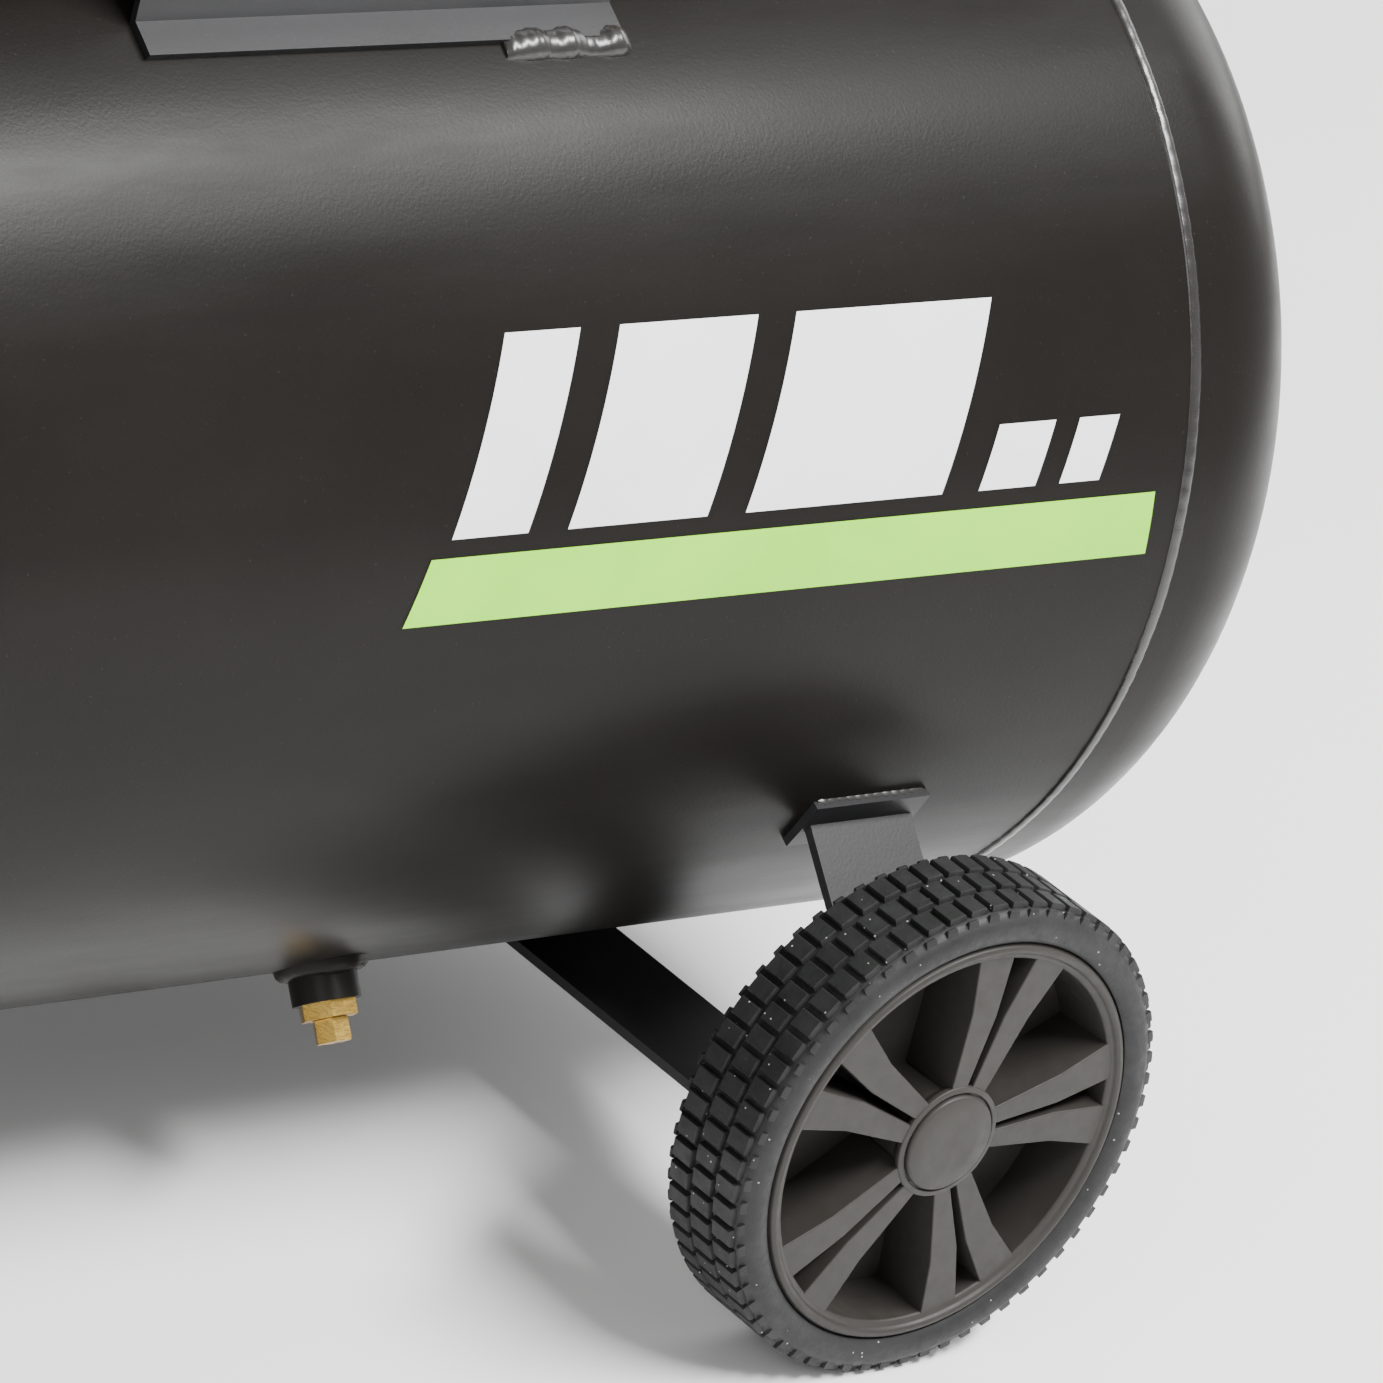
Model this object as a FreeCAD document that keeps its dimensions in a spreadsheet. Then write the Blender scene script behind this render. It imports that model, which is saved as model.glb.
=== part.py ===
"""Belt-driven air compressor on a 150 litre receiver, as a parametric FreeCAD document.

Frame: +X points to the wheel end, -Y to the front, +Z up. The origin is on the floor,
under the middle of the machine. Millimetres throughout.
"""
import FreeCAD, Part
import math
import os
import types

import Sketcher
from FreeCAD import Placement, Rotation, Vector

os.makedirs("parts", exist_ok=True)
doc = FreeCAD.newDocument("air_compressor")

# ---------------------------------------------------------------- driving dimensions

SIZES = [
    # air receiver
    ("tank_r", 225, "outer radius of the receiver"),
    ("tank_wall", 3, "sheet of shell and heads"),
    ("shell_half", 388, "half length of the rolled shell"),
    ("head_flange", 15.5, "straight flange of a dished head"),
    ("crown_ratio", 1.6, "crown radius over receiver radius, semi-ellipsoidal standard head"),
    ("knuckle_ratio", 0.308, "knuckle radius over receiver radius"),
    ("belly_z", 65, "receiver above the floor"),
    ("bead_w", 10, "width of a seam weld"),
    ("bead_rise", 1.2, "height of a seam weld"),
    # platform and its saddles
    ("saddle_len", 209, "length of a saddle along the receiver"),
    ("saddle_y", 114.5, "outer face of a saddle side"),
    ("saddle_rise", 22, "saddle top above the receiver"),
    ("sheet_t", 3, "folded sheet of the saddles"),
    ("lip_deg", 33.6, "edge of the saddle lip, measured from the top of the receiver"),
    ("window_x", 172, "opening in a saddle top, along"),
    ("window_y", 176, "opening in a saddle top, across"),
    ("deck_len", 538, "platform length"),
    ("deck_half_w", 120, "half width of the platform"),
    ("deck_t", 5, "platform plate"),
    ("deck_x", -116, "platform centre from the receiver centre"),
    ("pump_x", 38, "pump centre from the receiver centre"),
    ("motor_x", -270, "motor centre from the receiver centre"),
    # wheels and their bracket
    ("wheel_x", 285, "axle from the receiver centre"),
    ("wheel_r", 100, "rolling radius"),
    ("wheel_w", 47, "tyre width"),
    ("wheel_out", 47.5, "tyre middle plane beyond the side of the receiver"),
    ("strap_w", 50, "width of the bracket straps"),
    ("strap_t", 4, "thickness of the bracket straps"),
    ("strap_out", 20, "outer face of the upright beyond the side of the receiver"),
    ("leg_deg", 63.5, "strap end, measured from the bottom of the receiver"),
    ("pad_span", 3, "half of the angle that a strap pad covers"),
    ("pad_w", 56, "length of a strap pad along the receiver"),
    ("pad_t", 3.5, "thickness of a strap pad"),
    ("axle_r", 8, "shoulder of the axle bolt"),
    ("rim_r", 84, "bead seat of the rim"),
    ("rim_inner_r", 77, "inside of the rim barrel"),
    ("hub_r", 22, "wheel hub"),
    ("web_back", 8, "closed web of the wheel behind its middle plane"),
    ("wheel_web_t", 3, "thickness of the wheel web"),
    ("cap_r", 20, "hub cap disc"),
    ("cap_proud", 1.8, "hub cap face beyond the tyre side"),
    ("recess_r", 17, "pocket in the hub for cap and bolt head"),
    ("spoke_pairs", 5, "number of twin spokes"),
    ("tread_d", 2.5, "depth of the tread grooves"),
    # feet
    ("foot_x", -300, "foot bracket from the receiver centre"),
    ("foot_y", 165, "rubber foot from the receiver axis"),
    ("foot_half", 190, "outer face of the foot bracket"),
    ("foot_h", 36, "height of a rubber foot"),
    ("foot_r", 22, "radius of a rubber foot"),
    # handle
    ("handle_x", -290, "start of the handle tube from the receiver centre"),
    ("handle_sink", 17.7, "start of the handle tube under the skin of the receiver"),
    ("handle_aside", 25.5, "handle tube beyond the saddle lip"),
    ("handle_reach", 375, "length of the handle along its slope"),
    ("handle_deg", 35, "slope of the handle"),
    ("handle_bend", 50, "bend radius of the handle"),
    ("tube_r", 14, "handle tube"),
    ("tube_wall", 2, "handle tube wall"),
    ("grip_r", 17, "rubber grip"),
    ("grip_len", 150, "length of the grip"),
    # ports of the receiver
    ("valve_x", 195, "check valve from the receiver centre"),
    ("manifold_x", 285, "manifold from the receiver centre"),
    ("drain_x", 99, "drain from the receiver centre"),
    ("drain_deg", 38, "drain direction, from straight down toward the front"),
    ("boss_r", 17, "upper bosses"),
    ("boss_rise", 12, "upper bosses above the receiver top"),
    ("port_r", 9, "bore of the upper bosses"),
    ("drain_boss_r", 13, "drain boss"),
    ("drain_boss_rise", 14, "drain boss beyond the receiver"),
    ("drain_bore", 6, "bore of the drain boss"),
    # pump
    ("case_x", 62, "half length of the crankcase"),
    ("case_y", 78, "half width of the crankcase"),
    ("case_wall", 10, "crankcase wall"),
    ("pump_foot_x", 85, "half length of the pump foot"),
    ("pump_foot_y", 66, "half width of the pump foot"),
    ("pump_foot_t", 12, "thickness of the pump foot"),
    ("pump_bolt_x", 74, "pump bolts from the pump centre, along"),
    ("pump_bolt_y", 50, "pump bolts from the pump centre, across"),
    ("throw", 20, "crank throw, half of the stroke"),
    ("bore_r", 35, "cylinder bore"),
    ("bore_y", 42, "bore axis from the pump centre"),
    ("rod_len", 95, "length of a connecting rod"),
    ("pin_r", 14, "crank pin"),
    ("journal_r", 15, "crank journal"),
    ("web_r", 38, "crank web"),
    ("small_end_r", 9, "small end of a connecting rod"),
    ("crown_t", 6, "piston crown"),
    ("skirt_t", 4, "piston skirt"),
    ("skirt_low", 3, "piston skirt below the small end"),
    ("block_wall", 10, "cylinder wall"),
    ("fin_out", 12, "reach of a cooling fin"),
    ("fin_t", 3, "thickness of a cooling fin"),
    ("fin_count", 9, "fins on the cylinder block"),
    ("head_space", 1, "room above a piston at the top of its stroke"),
    ("flange_t", 8, "flanges of crankcase, cylinder block and motor foot"),
    ("head_h", 40, "height of the cylinder head with its fins"),
    ("head_slab", 22, "cylinder head without its fins"),
    ("head_fins", 13, "fins on the cylinder head"),
    ("room_near", 4, "valve rooms of the head, near edge"),
    ("room_far", 28, "valve rooms of the head, far edge"),
    ("thread_len", 22, "head bolts into the cylinder block"),
    ("neck_r", 7, "neck of an air filter"),
    ("hub_boss_r", 28, "bearing boss at the back of the crankcase"),
    ("hub_boss_len", 22, "length of the bearing boss"),
    ("front_journal_r", 12.5, "front crank journal"),
    ("spigot_r", 40, "opening at the front of the crankcase"),
    ("cover_r", 48, "front bearing cover"),
    ("cover_t", 6, "flange of the bearing cover"),
    ("cover_boss_r", 24, "boss of the bearing cover"),
    ("cover_len", 20, "bearing cover in front of the crankcase"),
    ("pin_half", 11, "half length of a crank pin"),
    ("web_t", 8, "thickness of a crank web"),
    ("rod_wall", 8, "big end around the crank pin"),
    ("sight_r", 8, "oil sight glass"),
    ("filler_r", 8, "oil filler bore"),
    ("filler_z", 20, "oil filler above the crank axis"),
    ("filter_r", 30, "air filter"),
    ("filter_len", 44, "length of an air filter"),
    # belt drive
    ("belt_y", 172, "belt plane from the receiver axis"),
    ("fly_pitch_r", 140, "pitch radius of the flywheel"),
    ("fly_w", 34, "width of the flywheel rim"),
    ("pulley_pitch_r", 45, "pitch radius of the motor pulley"),
    ("pulley_w", 26, "width of the motor pulley"),
    ("belt_w", 12, "V-belt, width at its back"),
    ("belt_low_w", 8, "V-belt, width at its inside"),
    ("belt_h", 8, "V-belt, height"),
    ("groove_d", 12, "depth of a V groove"),
    ("guard_gap", 10, "belt guard beyond the wheels inside it"),
    ("guard_w", 66, "width of the belt guard"),
    ("guard_t", 2, "sheet of the belt guard"),
    ("rim_wall", 8, "flywheel rim under its groove"),
    ("fly_hub_r", 30, "flywheel hub"),
    ("fly_hub_w", 40, "length of the flywheel hub"),
    ("fly_spokes", 5, "number of flywheel spokes"),
    ("spoke_w", 20, "flywheel spoke width"),
    ("spoke_t", 10, "flywheel spoke thickness"),
    ("tab_len", 50, "feet of the belt guard, along"),
    ("tab_y", 98, "inner edge of the belt guard feet"),
    ("slot_w", 6, "width of a cooling slot"),
    ("slot_reach", 30, "half length of a slot in the belt guard"),
    ("guard_slots", 28, "number of slots in the belt guard"),
    # motor
    ("motor_r", 80, "motor housing"),
    ("motor_fin", 7, "reach of a motor fin"),
    ("motor_fins", 28, "number of motor fins"),
    ("motor_front", 105, "motor housing toward the front"),
    ("motor_back", 95, "motor housing toward the pulley"),
    ("motor_wall", 12, "motor housing wall"),
    ("motor_clear", 6, "platform below the motor fins"),
    ("shaft_r", 12, "motor shaft"),
    ("rotor_r", 50, "rotor core"),
    ("motor_foot_x", 74, "motor bolts from the motor centre, along"),
    ("motor_foot_y", 45, "motor bolts from the motor centre, across"),
    ("cowl_over", 8, "fan cowl beyond the motor housing"),
    ("cowl_len", 46, "length of the fan cowl"),
    ("rotor_room", 14, "end windings beside the rotor core"),
    ("cowl_slots", 16, "number of slots in the fan cowl"),
    ("gland_r", 8, "cable gland"),
    ("gland_len", 14, "length of a cable gland"),
    ("button_r", 6, "overload reset button"),
    ("box_x", 84, "terminal box, along the receiver"),
    ("box_y", 120, "terminal box, across"),
    ("box_z", 42, "terminal box, height"),
    # fittings
    ("block_half", 18, "half width of the manifold block"),
    ("stem_rise", 33, "manifold stem above its boss"),
    ("switch_half", 32, "half width of the pressure switch"),
    ("switch_base_h", 22, "height of the switch base"),
    ("switch_cover_h", 78, "height of the switch cover"),
    ("gauge_r", 26, "pressure gauge"),
    ("gauge_d", 24, "depth of the pressure gauge"),
    ("gauge_stem", 18, "gauge stem in front of the manifold"),
    ("knob_r", 20, "regulator knob"),
    ("knob_h", 30, "height of the regulator knob"),
    ("knob_ribs", 24, "ribs around the regulator knob"),
    ("knob_stem_r", 5, "spindle of a knob"),
    ("pot_low", 26, "regulator below its bore"),
    ("pot_high", 22, "regulator above its bore"),
    ("neck_len", 10, "necks of regulator and coupler"),
    ("neck_h", 8, "neck under the pressure switch"),
    ("nub_len", 12, "unloader valve at the side of the switch"),
    ("valve_h", 38, "height of the check valve"),
    ("side_len", 4, "side port of the check valve"),
    ("coupler_len", 44, "length of the outlet coupler"),
    ("sleeve_len", 20, "length of the coupler sleeve"),
    ("plug_r", 5.5, "bore of the outlet coupler"),
    ("safety_len", 36, "length of the safety valve"),
    ("ring_r", 9, "pull ring of the safety valve"),
    ("drain_hex_r", 11.5, "drain valve hex over its corners"),
    ("drain_screw_r", 7.2, "drain screw hex over its corners"),
    ("drain_screw_h", 9, "height of the drain screw head"),
    ("pipe_r", 8, "delivery pipe"),
    ("pipe_bore", 6.5, "inside of the delivery pipe"),
    ("pipe_bend", 36, "bend of the delivery pipe"),
    ("thin_r", 3, "unloader pipe"),
    ("thin_bore", 2, "inside of the unloader pipe"),
    ("thin_bend", 10, "bend of the unloader pipe"),
    # fasteners and fits
    ("bolt_r", 4, "M8 bolt shank"),
    ("bolt_corner_r", 7.5, "M8 head over its corners"),
    ("bolt_head_h", 5.3, "M8 head height"),
    ("nut_h", 6.5, "M8 nut height"),
    ("bolt_fit", 0.4, "radial room around a bolt"),
    ("run_fit", 0.05, "radial running clearance"),
    ("gap", 0.3, "clearance between pieces that move past each other"),
]


class Dim:
    """A number and the sheet expression that gives it, carried together through arithmetic."""

    def __init__(self, text, value):
        self.text = text
        self.value = float(value)

    def _join(self, sign, other, value):
        return Dim("(%s %s %s)" % (self.text, sign, other.text), value)

    def __add__(self, other):
        other = dim(other)
        return self._join("+", other, self.value + other.value)

    def __sub__(self, other):
        other = dim(other)
        return self._join("-", other, self.value - other.value)

    def __mul__(self, other):
        other = dim(other)
        return self._join("*", other, self.value * other.value)

    def __truediv__(self, other):
        other = dim(other)
        return self._join("/", other, self.value / other.value)

    def __radd__(self, other):
        return dim(other) + self

    def __rsub__(self, other):
        return dim(other) - self

    def __rmul__(self, other):
        return dim(other) * self

    def __neg__(self):
        return dim(0) - self


def dim(value):
    return value if isinstance(value, Dim) else Dim(repr(float(value)), value)


def root(value):
    return Dim("sqrt(%s)" % value.text, math.sqrt(value.value))


def sine(degrees):
    return Dim("sin(%s)" % degrees.text, math.sin(math.radians(degrees.value)))


def cosine(degrees):
    return Dim("cos(%s)" % degrees.text, math.cos(math.radians(degrees.value)))


def fill_sheet():
    sheet = doc.addObject("Spreadsheet::Sheet", "sheet")
    dims = {}
    for row, (name, value, note) in enumerate(SIZES, start=1):
        sheet.set("A%d" % row, name)
        sheet.set("B%d" % row, str(value))
        sheet.set("C%d" % row, note)
        sheet.setAlias("B%d" % row, name)
        dims[name] = Dim("sheet.%s" % name, value)
    doc.recompute()
    return types.SimpleNamespace(**dims)


S = fill_sheet()

# ---------------------------------------------------------------- derived places

# what follows the receiver, the motor or the piston when one of them changes
S.axis_z = S.belly_z + S.tank_r
S.saddle_top = S.tank_r + S.saddle_rise
S.wheel_y = S.tank_r + S.wheel_out
S.strap_y = S.tank_r + S.strap_out
S.handle_y = S.tank_r * sine(S.lip_deg) + S.handle_aside
S.handle_z = S.axis_z + root(S.tank_r * S.tank_r - S.handle_y * S.handle_y) - S.handle_sink
S.crank_rise = S.motor_r + S.motor_fin + S.motor_clear
S.case_low = S.crank_rise - S.pump_foot_t
S.cowl_r = S.motor_r + S.cowl_over
S.case_high = S.rod_len - S.throw - S.small_end_r - S.skirt_low - S.head_space

HEAD_CROWN = S.tank_r * S.crown_ratio
HEAD_KNUCKLE = S.tank_r * S.knuckle_ratio
KNUCKLE_U = S.tank_r - HEAD_KNUCKLE
CROWN_DROP = root((HEAD_CROWN - HEAD_KNUCKLE) * (HEAD_CROWN - HEAD_KNUCKLE) - KNUCKLE_U * KNUCKLE_U)
HEAD_LEN = S.head_flange + HEAD_CROWN - CROWN_DROP
HANDLE_END = S.handle_x - S.handle_reach * cosine(S.handle_deg) - S.grip_r
# the receiver sits off the origin, so that the origin is under the middle of the machine
TANK_X = (0 - HANDLE_END - S.shell_half - HEAD_LEN) / 2
TANK_TOP = S.axis_z + S.tank_r
DECK_Z = S.axis_z + S.saddle_top + S.deck_t
SHAFT_Z = DECK_Z + S.crank_rise
# a piston at the top of its stroke stays below the head
BLOCK_H = S.rod_len + S.throw * 3 + S.small_end_r + S.crown_t + S.head_space * 2 - S.case_high
BLOCK_TOP = S.case_high + BLOCK_H
HEAD_X = S.bore_r + S.block_wall + 4
HEAD_Y = S.bore_y + S.bore_r + S.block_wall + 4
HEAD_BOLT_X = HEAD_X - S.bolt_corner_r - 2
HEAD_BOLT_Y = HEAD_Y - S.bolt_corner_r - 2
PORT_LEVEL = BLOCK_TOP + S.head_slab / 2
SIGHT_Z = -S.cover_r - S.sight_r - 4
FLY_HALF_HUB = S.fly_hub_w / 2
BOX_SEAT = S.motor_r + S.motor_fin + 5
BOSS_TOP = TANK_TOP + S.boss_rise
PORT_Z = BOSS_TOP + S.stem_rise + S.block_half
SWITCH_Z = PORT_Z + S.block_half
# the regulator knob stands clear of the switch
REG_X = S.manifold_x + S.switch_half + S.knob_r + S.neck_len / 2
OUTLET_X = REG_X + S.block_half + S.neck_len

TO_X = Rotation(Vector(0, 1, 0), 90)
TO_MINUS_X = Rotation(Vector(0, 1, 0), -90)
TO_FRONT = Rotation(Vector(1, 0, 0), 90)
TO_BACK = Rotation(Vector(1, 0, 0), -90)
UPRIGHT = Rotation()
TO_DRAIN = Rotation(Vector(1, 0, 0), 180 - S.drain_deg.value)

# ---------------------------------------------------------------- sketch helpers


def bind(thing, path, size):
    thing.setExpression(path, size.text)


def fix(sketch, constraint, size):
    index = sketch.addConstraint(constraint)
    if "sheet" in size.text:
        bind(sketch, "Constraints[%d]" % index, size)


def arc_side(sketch, start, stop, radius):
    """An arc from start to stop: a positive radius turns left, a negative one right."""
    chord = stop - start
    reach = math.sqrt(max(radius.value ** 2 - chord.Length ** 2 / 4, 0))
    left = Vector(-chord.y, chord.x, 0).normalize()
    centre = (start + stop) / 2 + left * math.copysign(reach, radius.value)
    angles = [math.atan2(p.y - centre.y, p.x - centre.x) for p in (start, stop)]
    ends = (1, 2)
    if radius.value < 0:
        # sketch arcs run counter-clockwise, so this one is drawn from stop to start
        angles.reverse()
        ends = (2, 1)
        radius = -radius
    whole = Part.Circle(centre, Vector(0, 0, 1), radius.value)
    side = sketch.addGeometry(Part.ArcOfCircle(whole, *angles), False)
    fix(sketch, Sketcher.Constraint("Radius", side, radius.value), radius)
    return (side,) + ends


def chain(sketch, corners, closed=True):
    """Sides through (u, v) corners; (u, v, radius) makes the side that follows an arc."""
    corners = [tuple(dim(size) for size in corner) for corner in corners]
    followers = corners[1:] + corners[:1] if closed else corners[1:]
    sides = []
    for here, there in zip(corners, followers):
        start = Vector(here[0].value, here[1].value, 0)
        stop = Vector(there[0].value, there[1].value, 0)
        if len(here) == 3:
            sides.append(arc_side(sketch, start, stop, here[2]))
        else:
            sides.append((sketch.addGeometry(Part.LineSegment(start, stop), False), 1, 2))
    pairs = zip(sides, sides[1:] + sides[:1]) if closed else zip(sides, sides[1:])
    for (side, _, last), (following, first, _) in pairs:
        sketch.addConstraint(Sketcher.Constraint("Coincident", side, last, following, first))
    ends = [(side, first) for side, first, _ in sides]
    if not closed:
        ends.append((sides[-1][0], sides[-1][2]))
    for (side, point), corner in zip(ends, corners):
        for kind, size in zip(("DistanceX", "DistanceY"), corner):
            fix(sketch, Sketcher.Constraint(kind, -1, 1, side, point, size.value), size)


def circle(u, v, radius):
    return ("circle", dim(u), dim(v), dim(radius))


def box_loop(u0, v0, u1, v1):
    return [(u0, v0), (u1, v0), (u1, v1), (u0, v1)]


def mirrored(loop):
    """The same loop on the other side of the v axis."""
    return [(-dim(corner[0]),) + tuple(corner[1:2]) + tuple(-dim(r) for r in corner[2:]) for corner in loop]


def add_circle(sketch, u, v, radius):
    index = sketch.addGeometry(Part.Circle(Vector(u.value, v.value, 0), Vector(0, 0, 1), radius.value), False)
    fix(sketch, Sketcher.Constraint("DistanceX", -1, 1, index, 3, u.value), u)
    fix(sketch, Sketcher.Constraint("DistanceY", -1, 1, index, 3, v.value), v)
    fix(sketch, Sketcher.Constraint("Radius", index, radius.value), radius)


def draw(body, name, plane, loops, level=0):
    """A sketch on an origin plane, moved along that plane's own axis to the given level."""
    sketch = body.newObject("Sketcher::SketchObject", name)
    for feature in body.Origin.OriginFeatures:
        if feature.Role == plane + "_Plane":
            sketch.AttachmentSupport = [(feature, "")]
    sketch.MapMode = "FlatFace"
    for loop in loops:
        if loop[0] == "circle":
            add_circle(sketch, *loop[1:])
        else:
            chain(sketch, loop)
    level = dim(level)
    # the XZ plane of a body faces -Y
    bind(sketch, "AttachmentOffset.Base.z", -level if plane == "XZ" else level)
    return sketch


# ---------------------------------------------------------------- feature helpers


def new_body(label):
    return doc.addObject("PartDesign::Body", label)


def slab(body, name, plane, loops, centre, thick, kind="Pad"):
    """A pad (or pocket) that reaches the same way to both sides of its middle plane."""
    feature = body.newObject("PartDesign::" + kind, name)
    feature.Profile = draw(body, name + "_sketch", plane, loops, centre)
    feature.SideType = "Symmetric"
    bind(feature, "Length", dim(thick))
    return feature


def pocket(body, name, plane, loops, centre, thick):
    return slab(body, name, plane, loops, centre, thick, "Pocket")


def turn(body, name, loops):
    """Loops of (radius, height) turned about the body's Z axis."""
    feature = body.newObject("PartDesign::Revolution", name)
    sketch = draw(body, name + "_sketch", "XZ", loops)
    feature.Profile = sketch
    feature.ReferenceAxis = (sketch, ["V_Axis"])
    feature.Angle = 360
    return feature


def around(body, feature, count):
    pattern = body.newObject("PartDesign::PolarPattern", feature.Name + "_around")
    pattern.Originals = [feature]
    pattern.Axis = (feature.Profile[0], ["N_Axis"])
    pattern.Angle = 360
    bind(pattern, "Occurrences", count)
    body.Tip = pattern


def in_row(body, feature, axis, pitch, count):
    pattern = body.newObject("PartDesign::LinearPattern", feature.Name + "_row")
    pattern.Originals = [feature]
    pattern.Direction = (feature.Profile[0], [axis])
    bind(pattern, "Length", pitch * (count - 1))
    bind(pattern, "Occurrences", count)
    body.Tip = pattern


def place(thing, x, y, z, rotation=UPRIGHT):
    """Put a piece at x from the receiver centre, y from its axis and z above the floor."""
    thing.Placement = Placement(Vector(0, 0, 0), rotation)
    for axis, size in zip("xyz", (TANK_X + x, dim(y), dim(z))):
        bind(thing, "Placement.Base." + axis, size)
    return thing


def turned(label, loops):
    body = new_body(label)
    turn(body, label + "_turn", loops)
    return body


def ring_loop(inner, outer, low, high):
    return box_loop(inner, low, outer, high)


def cylinder(label, radius, length):
    thing = doc.addObject("Part::Cylinder", label)
    bind(thing, "Radius", dim(radius))
    bind(thing, "Height", dim(length))
    return thing


def hexagon(label, corner_radius, length):
    thing = doc.addObject("Part::Prism", label)
    thing.Polygon = 6
    bind(thing, "Circumradius", dim(corner_radius))
    bind(thing, "Height", dim(length))
    return thing


def fused(label, pieces):
    thing = doc.addObject("Part::MultiFuse", label)
    thing.Shapes = pieces
    return thing


def cut(label, base, tools):
    tool = tools[0] if len(tools) == 1 else fused(label + "_tools", tools)
    thing = doc.addObject("Part::Cut", label)
    thing.Base = base
    thing.Tool = tool
    return thing


def grouped(label, pieces):
    """Separate solids that share one node."""
    thing = doc.addObject("Part::Compound", label)
    thing.Links = pieces
    return thing


NODES = []


def node(thing):
    NODES.append(thing)
    return thing


def tank_solid(label, grow=0):
    """The space that the receiver fills, used to shape what is welded to it."""
    thing = cylinder(label, S.tank_r + grow, S.shell_half * 2)
    return place(thing, -S.shell_half, 0, S.axis_z, TO_X)


# ---------------------------------------------------------------- air receiver


def on_tank(angle, radius=None):
    """The (y, z) point of the receiver section at an angle from its top."""
    radius = S.tank_r if radius is None else radius
    return radius * sine(angle), radius * cosine(angle)


def under_tank(angle, radius=None):
    """The (y, z) point at an angle from the bottom of the receiver section."""
    radius = S.tank_r if radius is None else radius
    return radius * sine(angle), -(radius * cosine(angle))


def port(label, x, rotation, radius, start):
    hole = cylinder(label, radius, S.tank_wall * 20)
    reach = dim(start)
    axis = rotation.multVec(Vector(0, 0, 1))
    return place(hole, x, reach * axis.y, S.axis_z + reach * axis.z, rotation)


def make_shell():
    sheet = ring_loop(S.tank_r - S.tank_wall, S.tank_r, -S.shell_half, S.shell_half)
    body = turned("tank_shell_rolled", [sheet])
    place(body, 0, 0, S.axis_z, TO_X)
    start = S.tank_r - S.tank_wall * 10
    holes = [
        port("shell_valve_hole", S.valve_x, UPRIGHT, S.port_r, start),
        port("shell_manifold_hole", S.manifold_x, UPRIGHT, S.port_r, start),
        port("shell_drain_hole", S.drain_x, TO_DRAIN, S.drain_bore, start),
    ]
    node(cut("tank_shell", body, holes))


def head_loop():
    """Outer then inner skin of a dished head; height 0 is its edge at the shell."""
    share_u = KNUCKLE_U / (HEAD_CROWN - HEAD_KNUCKLE)
    share_v = CROWN_DROP / (HEAD_CROWN - HEAD_KNUCKLE)
    inner_knuckle = HEAD_KNUCKLE - S.tank_wall
    inner_r = S.tank_r - S.tank_wall
    return [
        (0, HEAD_LEN, -HEAD_CROWN),
        (KNUCKLE_U + HEAD_KNUCKLE * share_u, S.head_flange + HEAD_KNUCKLE * share_v, -HEAD_KNUCKLE),
        (S.tank_r, S.head_flange),
        (S.tank_r, 0),
        (inner_r, 0),
        (inner_r, S.head_flange, inner_knuckle),
        (KNUCKLE_U + inner_knuckle * share_u, S.head_flange + inner_knuckle * share_v,
         HEAD_CROWN - S.tank_wall),
        (0, HEAD_LEN - S.tank_wall),
    ]


def make_heads():
    for label, side, rotation in (("head_left", -1, TO_MINUS_X), ("head_right", 1, TO_X)):
        node(place(turned(label, [head_loop()]), S.shell_half * side, 0, S.axis_z, rotation))


def make_seam_welds():
    half = S.bead_w / 2
    bulge = (half * half + S.bead_rise * S.bead_rise) / (S.bead_rise * 2)
    beads = []
    for side, word in ((-1, "left"), (1, "right")):
        bead = turned("bead_" + word, [[(S.tank_r, -half, bulge), (S.tank_r, half)]])
        beads.append(place(bead, S.shell_half * side, 0, S.axis_z, TO_X))
    node(grouped("seam_welds", beads))


def boss(label, x, rotation, radius, rise, bore):
    inside = S.tank_r - S.tank_wall * 4
    axis = rotation.multVec(Vector(0, 0, 1))
    body = cylinder(label + "_bar", radius, S.tank_wall * 4 + rise)
    place(body, x, inside * axis.y, S.axis_z + inside * axis.z, rotation)
    hole = port(label + "_bore", x, rotation, bore, S.tank_r - S.tank_wall * 10)
    bind(hole, "Height", S.tank_wall * 10 + rise + 1)
    return cut(label, body, [tank_solid(label + "_trim"), hole])


def make_bosses():
    node(grouped("tank_bosses", [
        boss("boss_valve", S.valve_x, UPRIGHT, S.boss_r, S.boss_rise, S.port_r),
        boss("boss_manifold", S.manifold_x, UPRIGHT, S.boss_r, S.boss_rise, S.port_r),
        boss("boss_drain", S.drain_x, TO_DRAIN, S.drain_boss_r, S.drain_boss_rise, S.drain_bore),
    ]))


# ---------------------------------------------------------------- platform and brackets


def saddle_loop():
    inner_y = S.saddle_y - S.sheet_t
    outer_r = S.tank_r + S.sheet_t
    edge_y, edge_z = on_tank(S.lip_deg)
    lip_y, lip_z = on_tank(S.lip_deg, outer_r)
    half = [
        (S.saddle_y, S.saddle_top),
        (S.saddle_y, root(outer_r * outer_r - S.saddle_y * S.saddle_y), -outer_r),
        (lip_y, lip_z),
        (edge_y, edge_z, S.tank_r),
        (inner_y, root(S.tank_r * S.tank_r - inner_y * inner_y)),
        (inner_y, S.saddle_top - S.sheet_t),
    ]
    # walking the mirrored half backwards, an arc belongs to the corner that it used to reach
    back = [
        (-inner_y, S.saddle_top - S.sheet_t),
        (-inner_y, half[4][1], S.tank_r),
        (-edge_y, edge_z),
        (-lip_y, lip_z, -outer_r),
        (-S.saddle_y, half[1][1]),
        (-S.saddle_y, S.saddle_top),
    ]
    return half + back


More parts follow.
